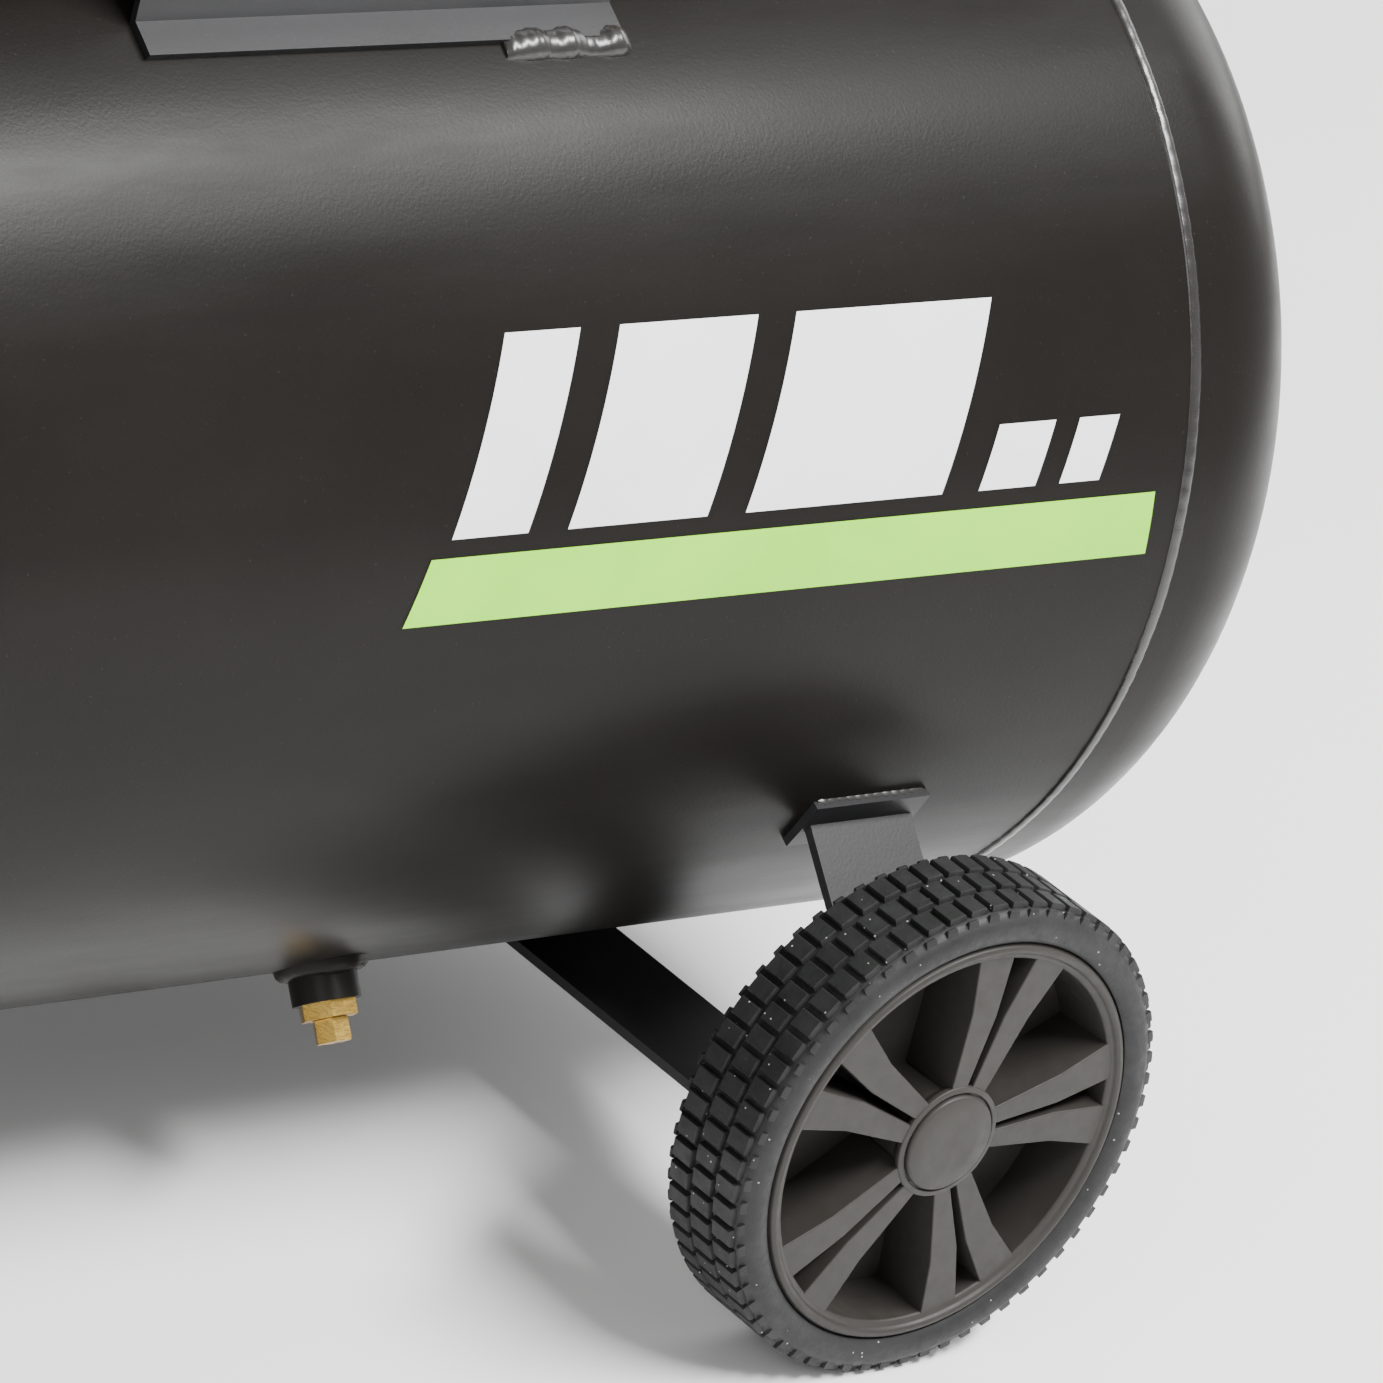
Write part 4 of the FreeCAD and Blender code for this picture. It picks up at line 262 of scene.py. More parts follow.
MATERIALS = {
    "tank": powder_coat("tank_coat", (0.0085, 0.0076, 0.0066), (0.011, 0.0098, 0.0087), 0.33, shine=0.085),
    "frame": powder_coat("frame_coat", (0.012, 0.012, 0.013), (0.018, 0.018, 0.0195), 0.40, shine=0.34),
    "weld": powder_coat("weld_coat", (0.014, 0.013, 0.0125), (0.022, 0.021, 0.020), 0.27, shine=0.6),
    "guard": powder_coat("guard_coat", (0.012, 0.012, 0.012), (0.018, 0.018, 0.0185), 0.42, grain=2.0),
    "motor": powder_coat("motor_coat", (0.015, 0.0155, 0.0165), (0.022, 0.0225, 0.024), 0.36),
    "wheel": moulded_plastic("wheel_plastic", (0.022, 0.020, 0.0175), (0.028, 0.0255, 0.0225), 0.50,
                             shine=0.3),
    "tyre": tyre_rubber(),
    "rubber": soft_rubber("soft_rubber"),
    "grip": ribbed_grip(),
    "belt": soft_rubber("belt_rubber", 0.014),
    "iron": casting("painted_iron", (0.020, 0.021, 0.023), (0.034, 0.035, 0.038), 0.45),
    "alloy": casting("cast_alloy", (0.30, 0.305, 0.31), (0.42, 0.425, 0.43), 0.45,
                     metallic=1.0, sand=0.00012),
    "steel": machined("zinc_steel", (0.50, 0.50, 0.51), (0.68, 0.68, 0.69), 0.30),
    "brass": machined("brass", (0.52, 0.31, 0.06), (0.76, 0.50, 0.13), 0.26),
    "copper": machined("copper", (0.55, 0.21, 0.10), (0.74, 0.33, 0.17), 0.30, stretch=(1, 1, 1)),
    "plated": machined("plated", (0.62, 0.62, 0.63), (0.78, 0.78, 0.79), 0.16),
    "plastic": moulded_plastic("black_plastic", (0.016, 0.016, 0.017), (0.026, 0.026, 0.027), 0.44),
    "red": moulded_plastic("red_plastic", (0.42, 0.012, 0.010), (0.55, 0.022, 0.016), 0.32,
                           grain=0.00002),
    "white_print": printed_film("white_print", (0.80, 0.80, 0.84), (0.87, 0.87, 0.91)),
    "green_print": printed_film("green_print", (0.25, 0.72, 0.010), (0.29, 0.79, 0.016)),
    "dial": printed_film("dial_print", (0.72, 0.72, 0.70), (0.82, 0.82, 0.80)),
    # black ink for the gauge print and needle, also the painted shade of the screw crosses
    "ink": printed_film("ink", (0.010, 0.010, 0.010), (0.018, 0.018, 0.018)),
    "glass": clear_glass(),
}

NODE_LOOKS = {
    "tank": ("tank_shell", "head_left", "head_right", "seam_welds", "tank_bosses"),
    "frame": ("saddles", "platform", "wheel_bracket", "foot_bracket", "handle_tube"),
    "guard": ("belt_guard",),
    "wheel": ("wheel_front", "wheel_back", "hub_cap_front", "hub_cap_back"),
    "tyre": ("tyre_front", "tyre_back"),
    "rubber": ("rubber_feet",),
    "grip": ("handle_grip",),
    "belt": ("v_belt",),
    "iron": ("crankcase", "crankcase_cover", "cylinder_block", "flywheel"),
    "alloy": ("cylinder_head", "con_rod_front", "con_rod_back", "piston_front", "piston_back"),
    "motor": ("motor_housing", "fan_cowl", "terminal_box"),
    "steel": ("crankshaft", "rotor", "hex_bolts", "axle_fasteners", "motor_pulley"),
    "plastic": ("air_filters", "switch_base", "switch_cover", "oil_filler", "regulator_knob", "gauge_case"),
    "red": ("switch_knob", "overload_button"),
    "brass": ("drain_valve", "drain_screw", "check_valve", "safety_valve", "manifold", "regulator_body"),
    "copper": ("delivery_pipe", "unloader_pipe"),
    "plated": ("outlet_coupling", "coupling_sleeve", "safety_ring"),
    "dial": ("gauge_dial",),
    "ink": ("gauge_needle",),
    "glass": ("gauge_lens", "sight_glass"),
}


def dress_nodes():
    """One look on each CAD node."""
    for look, names in NODE_LOOKS.items():
        for name in names:
            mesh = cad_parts[name].data
            mesh.materials.clear()
            mesh.materials.append(MATERIALS[look])


# ---------------------------------------------------------------- mesh helpers


def add_mesh(name, verts, faces, look, sharp=40):
    """A smooth-shaded object with outward normals, creased where faces meet above sharp degrees."""
    mesh = bpy.data.meshes.new(name)
    mesh.from_pydata([tuple(v) for v in verts], [], faces)
    work = bmesh.new()
    work.from_mesh(mesh)
    bmesh.ops.recalc_face_normals(work, faces=work.faces)
    work.to_mesh(mesh)
    work.free()
    mesh.materials.append(MATERIALS[look])
    thing = bpy.data.objects.new(name, mesh)
    bpy.context.scene.collection.objects.link(thing)
    mesh.shade_smooth()
    mesh.set_sharp_from_angle(angle=math.radians(sharp))
    return thing


def bevel(thing, width, segments=2, angle=30):
    """Rounds the edges that turn by more than angle degrees."""
    modifier = thing.modifiers.new("bevel", "BEVEL")
    modifier.width = width
    modifier.segments = segments
    modifier.limit_method = "ANGLE"
    modifier.angle_limit = math.radians(angle)
    modifier.harden_normals = True
    return thing


def axis_frame(place, out, up=Vector((0, 0, 1))):
    """A matrix whose local Z is out and whose local Y is as near to up as it can be."""
    out = out.normalized()
    side = up.cross(out).normalized()
    return Matrix.Translation(place) @ Matrix((side, out.cross(side), out)).transposed().to_4x4()


def lathe(profile, steps, where):
    """A closed outline of (radius, height) turned about local Z, as verts and faces."""
    verts = []
    for step in range(steps):
        angle = 2 * math.pi * step / steps
        verts += [where @ Vector((r * math.cos(angle), r * math.sin(angle), z)) for r, z in profile]
    count = len(profile)
    faces = []
    for step in range(steps):
        here = step * count
        there = (step + 1) % steps * count
        for k in range(count):
            after = (k + 1) % count
            faces.append((here + k, there + k, there + after, here + after))
    return verts, faces


def prism(loop, low, high, where):
    """A flat loop of (u, v) points drawn out from low to high along local Z."""
    verts = [where @ Vector((u, v, low)) for u, v in loop] + [where @ Vector((u, v, high)) for u, v in loop]
    count = len(loop)
    faces = [tuple(range(count))[::-1], tuple(range(count, 2 * count))]
    faces += [(k, (k + 1) % count, count + (k + 1) % count, count + k) for k in range(count)]
    return verts, faces


def joined(parts):
    """Several (verts, faces) sets as one."""
    verts = []
    faces = []
    for more, sides in parts:
        faces += [tuple(index + len(verts) for index in side) for side in sides]
        verts += more
    return verts, faces


def on_tank(x, angle, out=0.0):
    """A point on the receiver at x, at an angle in degrees from its top toward the front."""
    radius = TANK_R + out
    turn = math.radians(angle)
    return Vector((x, -radius * math.sin(turn), TANK.z + radius * math.cos(turn)))


# ---------------------------------------------------------------- wheels


def tyre_section():
    """Carcass outline: bead, slightly bulging side, rounded shoulder, flat under the lugs."""
    half = WHEEL_HALF
    bead = BEAD_R
    crown = WHEEL_R - TREAD_D
    side = [
        (bead, half - 4.5 * MM), (bead + 0.6 * MM, half - 2.2 * MM),
        (bead + 2.5 * MM, half - 0.7 * MM), (bead + 5.5 * MM, half),
        (bead + 9 * MM, half - 0.2 * MM), (crown - 2.2 * MM, half - 1.6 * MM),
        (crown - 0.9 * MM, half - 2.8 * MM), (crown, half - 4.6 * MM),
    ]
    return side + [(r, -z) for r, z in reversed(side)]


def lug(angle, length, low, high, base, top, where, shrink):
    """One tread block in cylinder coordinates, its top a little smaller than its foot.

    It is length long round the tyre, lies between low and high along the axle, and rises
    from radius base to radius top."""
    rings = ((base, 0.0), (top - 0.5 * MM, shrink * 0.4), (top, shrink))
    cuts = 3
    verts = []
    for radius, inset in rings:
        half = (length / 2 - inset) / radius
        for z in (low + inset, high - inset):
            for k in range(cuts):
                turn = angle + half * (2 * k / (cuts - 1) - 1)
                verts.append(where @ Vector((radius * math.cos(turn), radius * math.sin(turn), z)))
    faces = []
    row = 2 * cuts
    for level in range(2):
        a = level * row
        b = a + row
        for k in range(cuts - 1):
            faces.append((a + k, a + k + 1, b + k + 1, b + k))
            faces.append((a + cuts + k + 1, a + cuts + k, b + cuts + k, b + cuts + k + 1))
        faces.append((a + cuts, a, b, b + cuts))
        faces.append((a + cuts - 1, a + row - 1, b + row - 1, b + cuts - 1))
    a = 2 * row
    faces += [(a + k, a + k + 1, a + cuts + k + 1, a + cuts + k) for k in range(cuts - 1)]
    return verts, faces


def make_tyre(word, where):
    """The carcass, three staggered rows of tread blocks and a row of small lugs on each shoulder."""
    parts = [lathe(tyre_section(), 120, where)]
    floor = WHEEL_R - TREAD_D
    pitch = 2 * math.pi / LUGS
    row_y, half, shrink = 13.1, 5.7, 0.6 * MM
    for k in range(LUGS):
        for z, shift in ((-row_y, 0.0), (0.0, 0.5), (row_y, 0.0)):
            parts.append(lug((k + shift) * pitch, 8.0 * MM, (z - half) * MM, (z + half) * MM,
                             floor - 1 * MM, WHEEL_R - 0.05 * MM, where, shrink))
        for side in (-1, 1):
            low, high = sorted((side * 19.9 * MM, side * 22.0 * MM))
            parts.append(lug((k + 0.5) * pitch, 5.0 * MM, low, high,
                             floor - 3 * MM, WHEEL_R - 1.7 * MM, where, shrink))
    verts, faces = joined(parts)
    tyre = add_mesh("tread_" + word, verts, faces, "tyre", 35)
    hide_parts("tyre_" + word)
    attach(tyre, "wheel_%s_body" % word)


def spoke_arm(side):
    """One arm of a twin spoke, in (along, across): straight to the kink, then flaring to the rim."""
    edge = [(19, 1.3), (53, 2.1), (79, 6.2), (79, 24.0), (53, 15.0), (19, 8.4)]
    return [(u * MM, side * v * MM) for u, v in edge]


def make_rim(word, where):
    """Rim barrel, hub, closed web and twin spokes, moulded as one."""
    half = WHEEL_HALF
    barrel = [
        (BEAD_R, half - 3 * MM), (83.2 * MM, half - 1.2 * MM), (81.5 * MM, half - 0.6 * MM),
        (80.2 * MM, half - 1.2 * MM), (79.5 * MM, half - 2.4 * MM), (78.2 * MM, half - 2.7 * MM),
        (77.2 * MM, half - 3.6 * MM), (75.5 * MM, -half + 4 * MM), (77 * MM, -half + 2 * MM),
        (BEAD_R, -half + 2 * MM),
    ]
    web = [(18 * MM, -9.5 * MM), (18 * MM, -6.5 * MM), (78 * MM, -6.5 * MM), (78 * MM, -9.5 * MM)]
    hub = [
        (8.1 * MM, -half - 0.8 * MM), (19 * MM, -half - 0.8 * MM), (21 * MM, half - 8 * MM),
        (23.4 * MM, half - 4.5 * MM), (23.4 * MM, half - 2.6 * MM), (20.8 * MM, half - 2.1 * MM),
        (20.8 * MM, half - 3.2 * MM), (17.1 * MM, half - 3.2 * MM), (17.1 * MM, half - 9 * MM),
        (8.1 * MM, half - 9 * MM),
    ]
    parts = [lathe(barrel, 120, where), lathe(hub, 64, where), lathe(web, 96, where)]
    for pair in range(SPOKE_PAIRS):
        turn = Matrix.Rotation(math.radians(SPOKE_START + 360 / SPOKE_PAIRS * pair), 4, "Z")
        for side in (-1, 1):
            parts.append(prism(spoke_arm(side), -7 * MM, half - 2.9 * MM, where @ turn))
    verts, faces = joined(parts)
    wheel = bevel(add_mesh("rim_" + word, verts, faces, "wheel", 30), 0.9 * MM, 3)
    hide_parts("wheel_" + word)
    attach(wheel, "wheel_%s_body" % word)


def make_cap(word, where):
    """Hub cap: a flat disc with a rounded edge, and the skirt that clips it into the hub."""
    half = WHEEL_HALF
    face = half - 0.5 * MM
    disc = [
        (TINY, face), (12 * MM, face - 0.05 * MM), (18.9 * MM, face - 0.25 * MM),
        (19.7 * MM, face - 0.7 * MM), (20.0 * MM, face - 1.4 * MM), (20.0 * MM, half - 2.9 * MM),
        (HUB_POCKET, half - 2.9 * MM), (HUB_POCKET, half - 7 * MM), (14.5 * MM, half - 7 * MM),
        (14.5 * MM, half - 2.6 * MM), (TINY, half - 2.6 * MM),
    ]
    cap = add_mesh("cap_" + word, *lathe(disc, 72, where), "wheel", 50)
    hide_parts("hub_cap_" + word)
    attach(cap, "wheel_%s_body" % word)


def make_wheels():
    for word, side in SIDES:
        where = axis_frame(WHEEL[word], Vector((0, side, 0)))
        make_tyre(word, where)
        make_rim(word, where)
        make_cap(word, where)


# ---------------------------------------------------------------- dished heads


def head_profile(length):
    """Half section (radius, depth) of a dished head: crown, knuckle and straight flange."""
    crown = CROWN_RATIO * TANK_R
    knuckle = KNUCKLE_RATIO * TANK_R
    across = TANK_R - knuckle
    lean = math.asin(across / (crown - knuckle))
    flange = length - crown + (crown - knuckle) * math.cos(lean)
    outer = []
    inner = []
    for line, shrink in ((outer, 0), (inner, HEAD_WALL)):
        for k in range(15):
            turn = lean * k / 14
            radius = crown - shrink
            line.append((max(radius * math.sin(turn), TINY), length - crown + radius * math.cos(turn)))
        for k in range(1, 13):
            turn = lean + (math.pi / 2 - lean) * k / 12
            radius = knuckle - shrink
            line.append((across + radius * math.sin(turn), flange + radius * math.cos(turn)))
        line.append((TANK_R - shrink, 0))
    return outer + inner[::-1]


def make_heads():
    """The two dished heads, turned smooth all round."""
    for word, out in (("left", -1), ("right", 1)):
        low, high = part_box("head_" + word)
        start = Vector((low.x if out > 0 else high.x, 0, TANK.z))
        where = axis_frame(start, Vector((out, 0, 0)))
        piece = add_mesh("dished_" + word, *lathe(head_profile(high.x - low.x), 160, where), "tank", 60)
        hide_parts("head_" + word)
        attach(piece, "frame")


# ---------------------------------------------------------------- printed graphics


def film(name, look, corners, lift=0.25):
    """A slanted panel on the receiver: corners (x, angle) run round it, wrapped by many strips."""
    (x0, a0), (x1, a1), (x2, a2), (x3, a3) = corners
    across = 16
    along = 8
    verts = []
    for j in range(across + 1):
        t = j / across
        for i in range(along + 1):
            s = i / along
            x = (x0 * (1 - s) + x1 * s) * (1 - t) + (x3 * (1 - s) + x2 * s) * t
            angle = (a0 * (1 - s) + a1 * s) * (1 - t) + (a3 * (1 - s) + a2 * s) * t
            verts.append(on_tank(x, angle, lift * MM))
    faces = []
    for j in range(across):
        for i in range(along):
            k = j * (along + 1) + i
            faces.append((k, k + 1, k + along + 2, k + along + 1))
    piece = add_mesh(name, verts, faces, look)
    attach(piece, "frame")
    return piece


def slanted(left, right, top, bottom, lean=0.32):
    """A panel with upright ends leaning toward +X, given in metres from the seam and degrees."""
    shift = lean * TANK_R * math.radians(bottom - top)
    return [(SEAM_X + left + shift, top), (SEAM_X + right + shift, top), (SEAM_X + right, bottom),
            (SEAM_X + left, bottom)]


def make_decal():
    """A green stripe under three tall and two short white bars."""
    top, bottom = 80.3, 86.6
    film("stripe", "green_print", [(SEAM_X - 0.360, top), (SEAM_X - 0.016, top),
                                   (SEAM_X - 0.015, bottom), (SEAM_X - 0.368, bottom)])
    tall, short, low = 60.5, 72.4, 78.6
    bars = (
        (-0.352, -0.318, tall),
        (-0.300, -0.236, tall),
        (-0.218, -0.124, tall),
        (-0.106, -0.078, short),
        (-0.066, -0.046, short),
    )
    for count, (left, right, high) in enumerate(bars, start=1):
        film("flash_%d" % count, "white_print", slanted(left, right, high, low))


# ---------------------------------------------------------------- welds


def bead(name, points, width, rise, look, closed, ripple=0.25, lump=0.2):
    """A weld bead along (place, outward) points: half round, rippled, slightly uneven."""
    ring = 7
    verts = []
    count = len(points)
    for k, (place, out) in enumerate(points):
        ahead = points[(k + 1) % count if closed else min(k + 1, count - 1)][0]
        back = points[(k - 1) % count if closed else max(k - 1, 0)][0]
        along = (ahead - back).normalized()
        side = along.cross(out).normalized()
        wave = 1 + ripple * (abs(math.sin(k * math.pi / 5)) - 0.6)
        wave += lump * noise.noise(place * 90)
        if not closed:
            wave *= min(1, 0.45 + 0.2 * min(k, count - 1 - k))
        for j in range(ring):
            turn = math.pi * j / (ring - 1)
            height = rise * math.sin(turn) * wave - 0.35 * MM * (j in (0, ring - 1))
            verts.append(place + side * (math.cos(turn) * width / 2 * (0.8 + 0.2 * wave)) + out * height)
    faces = []
    for k in range(count if closed else count - 1):
        for j in range(ring - 1):
            a = k * ring + j
            b = (k + 1) % count * ring + j
            faces.append((a, b, b + 1, a + 1))
    if not closed:
        faces += [tuple(range(ring)), tuple(range((count - 1) * ring, count * ring))[::-1]]
    piece = add_mesh(name, verts, faces, look, 60)
    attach(piece, "frame")
    return piece


def tank_point(x, angle):
    """A point on the receiver with the direction out of it."""
    place = on_tank(x, angle)
    return place, Vector((0, place.y, place.z - TANK.z)).normalized()


def straight_weld(name, x0, x1, angle, width=4.5, rise=2.0, lump=0.35, ripple=0.22):
    """A bead along the receiver, width and rise in millimetres."""
    steps = max(4, round(abs(x1 - x0) / (0.9 * MM)))
    points = [tank_point(x0 + (x1 - x0) * k / steps, angle) for k in range(steps + 1)]
    bead(name, points, width * MM, rise * MM, "weld", False, ripple, lump)


def ring_weld(name, x, angle, radius, width=4.5, rise=2.4):
    """A bead round a boss of the receiver, width and rise in millimetres."""
    steps = round(2 * math.pi * radius / (1.0 * MM))
    points = []
    for k in range(steps):
        turn = 2 * math.pi * k / steps
        shift = math.degrees(math.asin(radius * math.sin(turn) / TANK_R))
        points.append(tank_point(x + radius * math.cos(turn), angle + shift))
    bead(name, points, width * MM, rise * MM, "tank", True, 0.07, 0.25)


def make_seams():
    """The weld between the shell and each head, with a slight wander."""
    low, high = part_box("seam_welds")
    rise = (high.z - low.z) / 2 - TANK_R
    steps = 900
    wander = [0.35 * MM * noise.noise(Vector((k * 0.05, 0, 0))) for k in range(steps)]
    for word, x in (("left", TANK_LOW.x), ("right", TANK_HIGH.x)):
        points = [tank_point(x + wander[k], 360 * k / steps) for k in range(steps)]
        piece = bead("seam_" + word, points, 5.4 * MM, rise * 0.92, "weld", True, 0.16, 0.1)
        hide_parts("seam_welds")


def make_welds():
    """Beads at the saddle lips, the strap pads, the feet and the bosses."""
    saddle_low, saddle_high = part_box("saddles")
    lip = math.degrees(math.asin(saddle_high.y / TANK_R)) - 0.3
    for place, end in (("left", saddle_low.x + SADDLE_LENGTH), ("right", saddle_high.x)):
        for word, side in SIDES:
            straight_weld("lip_weld_%s_%s" % (place, word), end - LIP_WELD, end + 3 * MM, -side * lip,
                          width=12, rise=3.6, lump=1.1, ripple=0.09)
    strap_low, strap_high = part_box("wheel_bracket")
    level = (TANK.z - strap_high.z) / TANK_R
    pad = 180 - math.degrees(math.acos(min(1.0, level))) + 0.4
    foot_low, foot_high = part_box("foot_bracket")
    foot = 180 - math.degrees(math.asin((foot_high.y + 1 * MM) / TANK_R))
    inset = 2 * MM
    for word, side in SIDES:
        straight_weld("pad_weld_" + word, strap_low.x + inset, strap_high.x - inset, -side * pad,
                      width=5, rise=2.4, lump=0.5)
    for word, side in SIDES:
        straight_weld("foot_weld_" + word, foot_low.x + inset, foot_high.x - inset, -side * foot,
                      width=5, rise=2.4)
    drain = middle("drain_valve")
    lean = 180 - math.degrees(math.atan2(-drain.y, TANK.z - drain.z))
    ring_weld("drain_weld", drain.x, lean, 13.6 * MM, width=9, rise=4.4)
    ring_weld("check_valve_weld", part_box("check_valve")[0].x + 12 * MM, 0, 18.2 * MM)
    ring_weld("manifold_weld", middle("manifold").x, 0, 18.2 * MM)


def make_handle_welds():
    """A bead round each end of the handle tube, where the slanting tube meets the receiver."""
    grip = middle("handle_grip")
    along = Vector((math.cos(TUBE_SLOPE), 0, -math.sin(TUBE_SLOPE)))
    across = Vector((0, 1, 0)) * TUBE_R
    up = Vector((math.sin(TUBE_SLOPE), 0, math.cos(TUBE_SLOPE))) * TUBE_R
    steps = 110
    for word, side in SIDES:
        points = []
        for k in range(steps):
            turn = 2 * math.pi * k / steps
            start = Vector((grip.x, side * TUBE_Y, grip.z)) + across * math.cos(turn) + up * math.sin(turn)
            level = TANK.z + math.sqrt(TANK_R ** 2 - start.y ** 2)
            place = start + along * ((start.z - level) / math.sin(TUBE_SLOPE))
            points.append((place, Vector((0, place.y, place.z - TANK.z)).normalized()))
        bead("handle_weld_" + word, points, 5 * MM, 2.4 * MM, "weld", True)


# ---------------------------------------------------------------- small fittings


def hex_screw(name, place, out, across, height):
    """A hexagon head with a rounded top on a plain washer."""
    where = axis_frame(place, out)
    radius = across / math.sqrt(3)
    corner = [(radius * math.cos(math.pi / 3 * k), radius * math.sin(math.pi / 3 * k)) for k in range(6)]
    washer = [(TINY, 0), (radius * 1.25, 0), (radius * 1.25, 0.9 * MM), (TINY, 0.9 * MM)]
    parts = [prism(corner, 0.8 * MM, height, where), lathe(washer, 28, where)]
    piece = bevel(add_mesh(name, *joined(parts), "steel", 25), 0.35 * MM, 2)
    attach(piece, "frame")


def cross_screw(name, place, out, radius):
    """A pan head whose cross recess is painted shade: a black solid cross of four wedges and a square, set
    into the dome.
    """
    where = axis_frame(place, out)
    top = radius * 0.62
    dome = [(TINY, top), (radius * 0.45, top * 0.96), (radius * 0.8, top * 0.72), (radius, top * 0.3),
            (radius, 0), (TINY, 0)]
    screw = add_mesh(name, *lathe(dome, 28, where), "steel", 50)
    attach(screw, "frame")
    arm = radius * 0.55
    wide = radius * 0.13
    sunk, proud = top * 0.7, top * 1.01
    wedge = [(wide, wide), (arm, wide * 0.6), (arm, -wide * 0.6), (wide, -wide)]
    square = [(wide, wide), (-wide, wide), (-wide, -wide), (wide, -wide)]
    # painted shade: the dark cross stands in for the shade inside the recess, which is not cut into the
    # head
    cross = [prism(wedge, sunk, proud, where @ Matrix.Rotation(math.pi / 2 * k, 4, "Z")) for k in range(4)]
    cross.append(prism(square, sunk, proud, where))
    shade_cross = add_mesh(name + "_painted_shade_recess", *joined(cross), "ink", 25)
    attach(shade_cross, "frame")


def make_screws():
    """Screws of the bearing cover, the terminal box, the switch cover and the fan cowl."""
    low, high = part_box("crankcase_cover")
    centre = (low + high) / 2
    circle = 40 * MM
    for k in range(6):
        turn = math.radians(30 + 60 * k)
        place = Vector((centre.x + circle * math.cos(turn), low.y + 14 * MM,
                        centre.z + circle * math.sin(turn)))
        hex_screw("cover_screw_%d" % (k + 1), place, FRONT, 8 * MM, 5 * MM)

    low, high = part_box("terminal_box")
    corners = ((low.x, low.y, 1, 1), (high.x, low.y, -1, 1),
               (high.x, high.y, -1, -1), (low.x, high.y, 1, -1))
    for k, (x, y, inward_x, inward_y) in enumerate(corners, start=1):
        place = Vector((x + 7 * MM * inward_x, y + 7 * MM * inward_y, high.z - 0.1 * MM))
        cross_screw("box_screw_%d" % k, place, UP, 3.4 * MM)

    low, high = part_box("switch_cover")
    centre = (low + high) / 2
    for k, side in enumerate((-1, 1), start=1):
        place = Vector((centre.x, low.y + 0.1 * MM, centre.z + side * 28 * MM))
        cross_screw("switch_screw_%d" % k, place, FRONT, 3.2 * MM)

    low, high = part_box("fan_cowl")
    centre = (low + high) / 2
    reach = (high.x - low.x) / 2
    for k in (2, 3):
        turn = math.radians(120 * k - 30)
        out = Vector((math.cos(turn), 0, math.sin(turn)))
        place = Vector((centre.x, high.y - 8 * MM, centre.z)) + out * (reach - 0.3 * MM)
        cross_screw("cowl_screw_%d" % k, place, out, 3.4 * MM)


def make_fan():
    """The motor's plastic cooling fan, just behind the slots of the cowl."""
    low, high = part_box("fan_cowl")
    centre = (low + high) / 2
    where = axis_frame(Vector((centre.x, low.y, centre.z)), FRONT)
    hub = [(12.3 * MM, -30 * MM), (12.3 * MM, -10 * MM), (20 * MM, -10 * MM), (22 * MM, -27 * MM),
           (72 * MM, -29 * MM), (72 * MM, -30.5 * MM), (22 * MM, -30.5 * MM)]
    blade = [(20 * MM, -1 * MM), (71 * MM, -1 * MM), (71 * MM, 1 * MM), (20 * MM, 1 * MM)]
    blades = 9
    parts = [lathe(hub, 64, where)]
    for k in range(blades):
        turn = Matrix.Rotation(2 * math.pi * k / blades, 4, "Z")
        parts.append(prism(blade, -30 * MM, -12 * MM, where @ turn))
    piece = add_mesh("motor_fan", *joined(parts), "plastic", 30)
    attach(piece, "motor_rotor")


def dial_angle(part):
    """Where on the dial a part of the whole scale lies, in radians."""
    return math.radians(DIAL_START - DIAL_SWEEP * part)


def make_gauge_face():
    """Ticks, plain numbers and a red zone on the pressure gauge."""
    low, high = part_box("gauge_dial")
    centre = (low + high) / 2
    where = axis_frame(Vector((centre.x, low.y, centre.z)), FRONT)
    radius = (high.x - low.x) / 2
    sunk, proud = -0.05 * MM, 0.06 * MM
    outer = radius * 0.90
    ticks = []
    for k in range(DIAL_STEPS + 1):
        major = k % 10 == 0
        inner = radius * (0.74 if major else 0.80 if k % 5 == 0 else 0.83)
        wide = (0.28 if major else 0.14) * MM
        turn = Matrix.Rotation(dial_angle(k / DIAL_STEPS), 4, "Z")
        ticks.append(prism([(inner, -wide), (outer, -wide), (outer, wide), (inner, wide)],
                           sunk, proud, where @ turn))
    piece = add_mesh("gauge_ticks", *joined(ticks), "ink", 25)
    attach(piece, "frame")
    cuts = 12
    arc = []
    for k in range(cuts):
        a = dial_angle(0.8 + 0.2 * k / cuts)
        b = dial_angle(0.8 + 0.2 * (k + 1) / cuts)
        loop = [(r * radius * math.cos(t), r * radius * math.sin(t)) for r, t in
                ((0.93, a), (0.97, a), (0.97, b), (0.93, b))]
        arc.append(prism(loop, sunk, proud, where))
    piece = add_mesh("gauge_red_zone", *joined(arc), "red", 25)
    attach(piece, "frame")
    circle = radius * 0.58
    for k in range(DIAL_NUMBERS + 1):
        curve = bpy.data.curves.new("number_%d" % k, "FONT")
        curve.body = str(2 * k)
        curve.size = 4.6 * MM
        curve.extrude = 0.03 * MM
        curve.align_x = "CENTER"
        curve.align_y = "CENTER"
        holder = bpy.data.objects.new("number_holder", curve)
        mesh = bpy.data.meshes.new_from_object(holder)
        bpy.data.objects.remove(holder)
        turn = dial_angle(k / DIAL_NUMBERS)
        mesh.transform(where @ Matrix.Translation((circle * math.cos(turn), circle * math.sin(turn), 0)))
        mesh.materials.clear()
        mesh.materials.append(MATERIALS["ink"])
        number = bpy.data.objects.new("gauge_number_%d" % (2 * k), mesh)
        bpy.context.scene.collection.objects.link(number)
        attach(number, "frame")


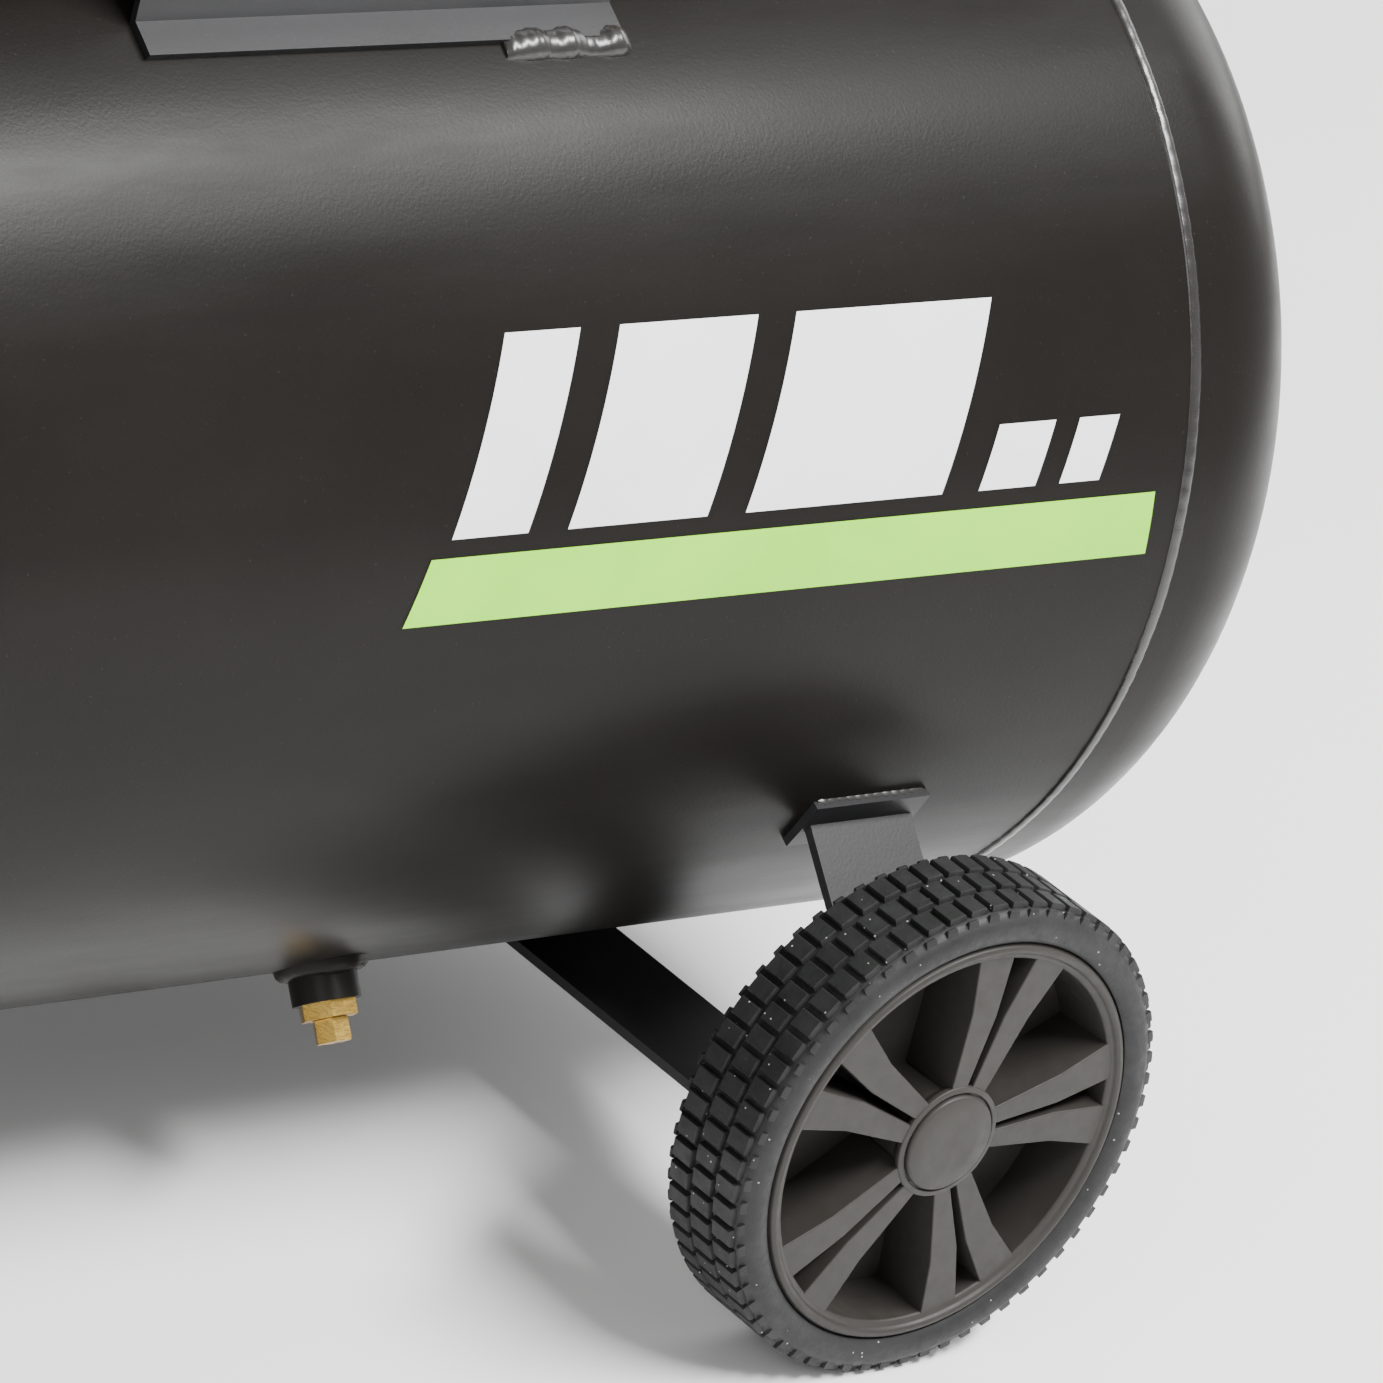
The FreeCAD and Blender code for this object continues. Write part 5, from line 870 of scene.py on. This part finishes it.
# rounded edges of CAD nodes, in millimetres
EDGES = {
    "platform": 0.8, "saddles": 0.8, "wheel_bracket": 0.9, "foot_bracket": 0.9,
    "terminal_box": 2.0, "switch_cover": 2.5, "switch_base": 1.2, "crankcase": 1.6,
    "belt_guard": 1.0, "hex_bolts": 0.4, "manifold": 0.6, "regulator_body": 0.6,
    "cylinder_head": 0.5, "cylinder_block": 0.5, "drain_valve": 0.3, "drain_screw": 0.3,
    "check_valve": 0.4, "tank_bosses": 0.8, "motor_housing": 0.6, "fan_cowl": 0.8,
}


def soften_nodes():
    """Small rounded edges on the folded, moulded and cast pieces."""
    for name, width in EDGES.items():
        bevel(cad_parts[name], width * MM, 2, 40)


# ---------------------------------------------------------------- stage, lights, camera


def make_stage():
    """A plain pale floor under an even white sky."""
    n = Nodes("pale_floor")
    n.color(n.mix(n.spread(n.noise(1.5, 3, 0.5), 0, 1), (0.93, 0.93, 0.93), (0.96, 0.96, 0.96)))
    n.roughness(n.spread(n.noise(8, 3, 0.5), 0.75, 0.85))
    mesh = bpy.data.meshes.new("floor")
    size = 14
    corners = [(-size, -size, 0), (size, -size, 0), (size, size, 0), (-size, size, 0)]
    mesh.from_pydata(corners, [], [(0, 1, 2, 3)])
    mesh.materials.append(n.material)
    floor = bpy.data.objects.new("floor", mesh)
    bpy.context.scene.collection.objects.link(floor)
    world = bpy.data.worlds.new("studio")
    world.use_nodes = True
    sky = world.node_tree.nodes["Background"]
    sky.inputs["Color"].default_value = (1.0, 1.0, 1.0, 1.0)
    sky.inputs["Strength"].default_value = 0.66
    bpy.context.scene.world = world


def softbox(name, place, aim, width, height, power):
    """A rectangular area light at place, turned to aim; power in watts."""
    data = bpy.data.lights.new(name, "AREA")
    data.shape = "RECTANGLE"
    data.size = width
    data.size_y = height
    data.energy = power
    light = bpy.data.objects.new(name, data)
    light.location = place
    light.rotation_mode = "QUATERNION"
    light.rotation_quaternion = (Vector(aim) - Vector(place)).to_track_quat("-Z", "Y")
    bpy.context.scene.collection.objects.link(light)


def make_lights():
    softbox("top_box", (1.1, -1.62, 2.85), (0.1, 0, 0.3), 2.6, 0.45, 280)
    softbox("left_box", (-2.8, -1.8, 1.9), (0, 0, 0.4), 1.8, 1.8, 34)
    softbox("right_box", (2.8, 0.6, 1.3), (0.3, 0, 0.35), 1.4, 1.6, 30)


def make_camera():
    """A long lens, looking down on the front from the left, with some roll; angles in radians."""
    heading = 0.773
    pitch = 0.412
    roll = -0.262
    from_axle = Vector((-2.0238, -2.1744, 1.1654))
    level = Vector((math.sin(heading), math.cos(heading), 0))
    forward = level * math.cos(pitch) - UP * math.sin(pitch)
    right = Vector((math.cos(heading), -math.sin(heading), 0))
    down = forward.cross(right)
    across = right * math.cos(roll) + down * math.sin(roll)
    below = down * math.cos(roll) - right * math.sin(roll)
    data = bpy.data.cameras.new("camera")
    data.sensor_width = 36
    data.lens = 215.27
    data.clip_start = 0.1
    data.clip_end = 50
    camera = bpy.data.objects.new("camera", data)
    camera.location = Vector((WHEEL["front"].x, 0, TANK.z)) + from_axle
    camera.rotation_mode = "QUATERNION"
    camera.rotation_quaternion = Matrix((across, -below, -forward)).transposed().to_quaternion()
    bpy.context.scene.collection.objects.link(camera)
    bpy.context.scene.camera = camera


dress_nodes()
make_wheels()
make_heads()
make_decal()
make_seams()
make_welds()
make_handle_welds()
make_screws()
make_fan()
make_gauge_face()
soften_nodes()
make_stage()
make_lights()
make_camera()
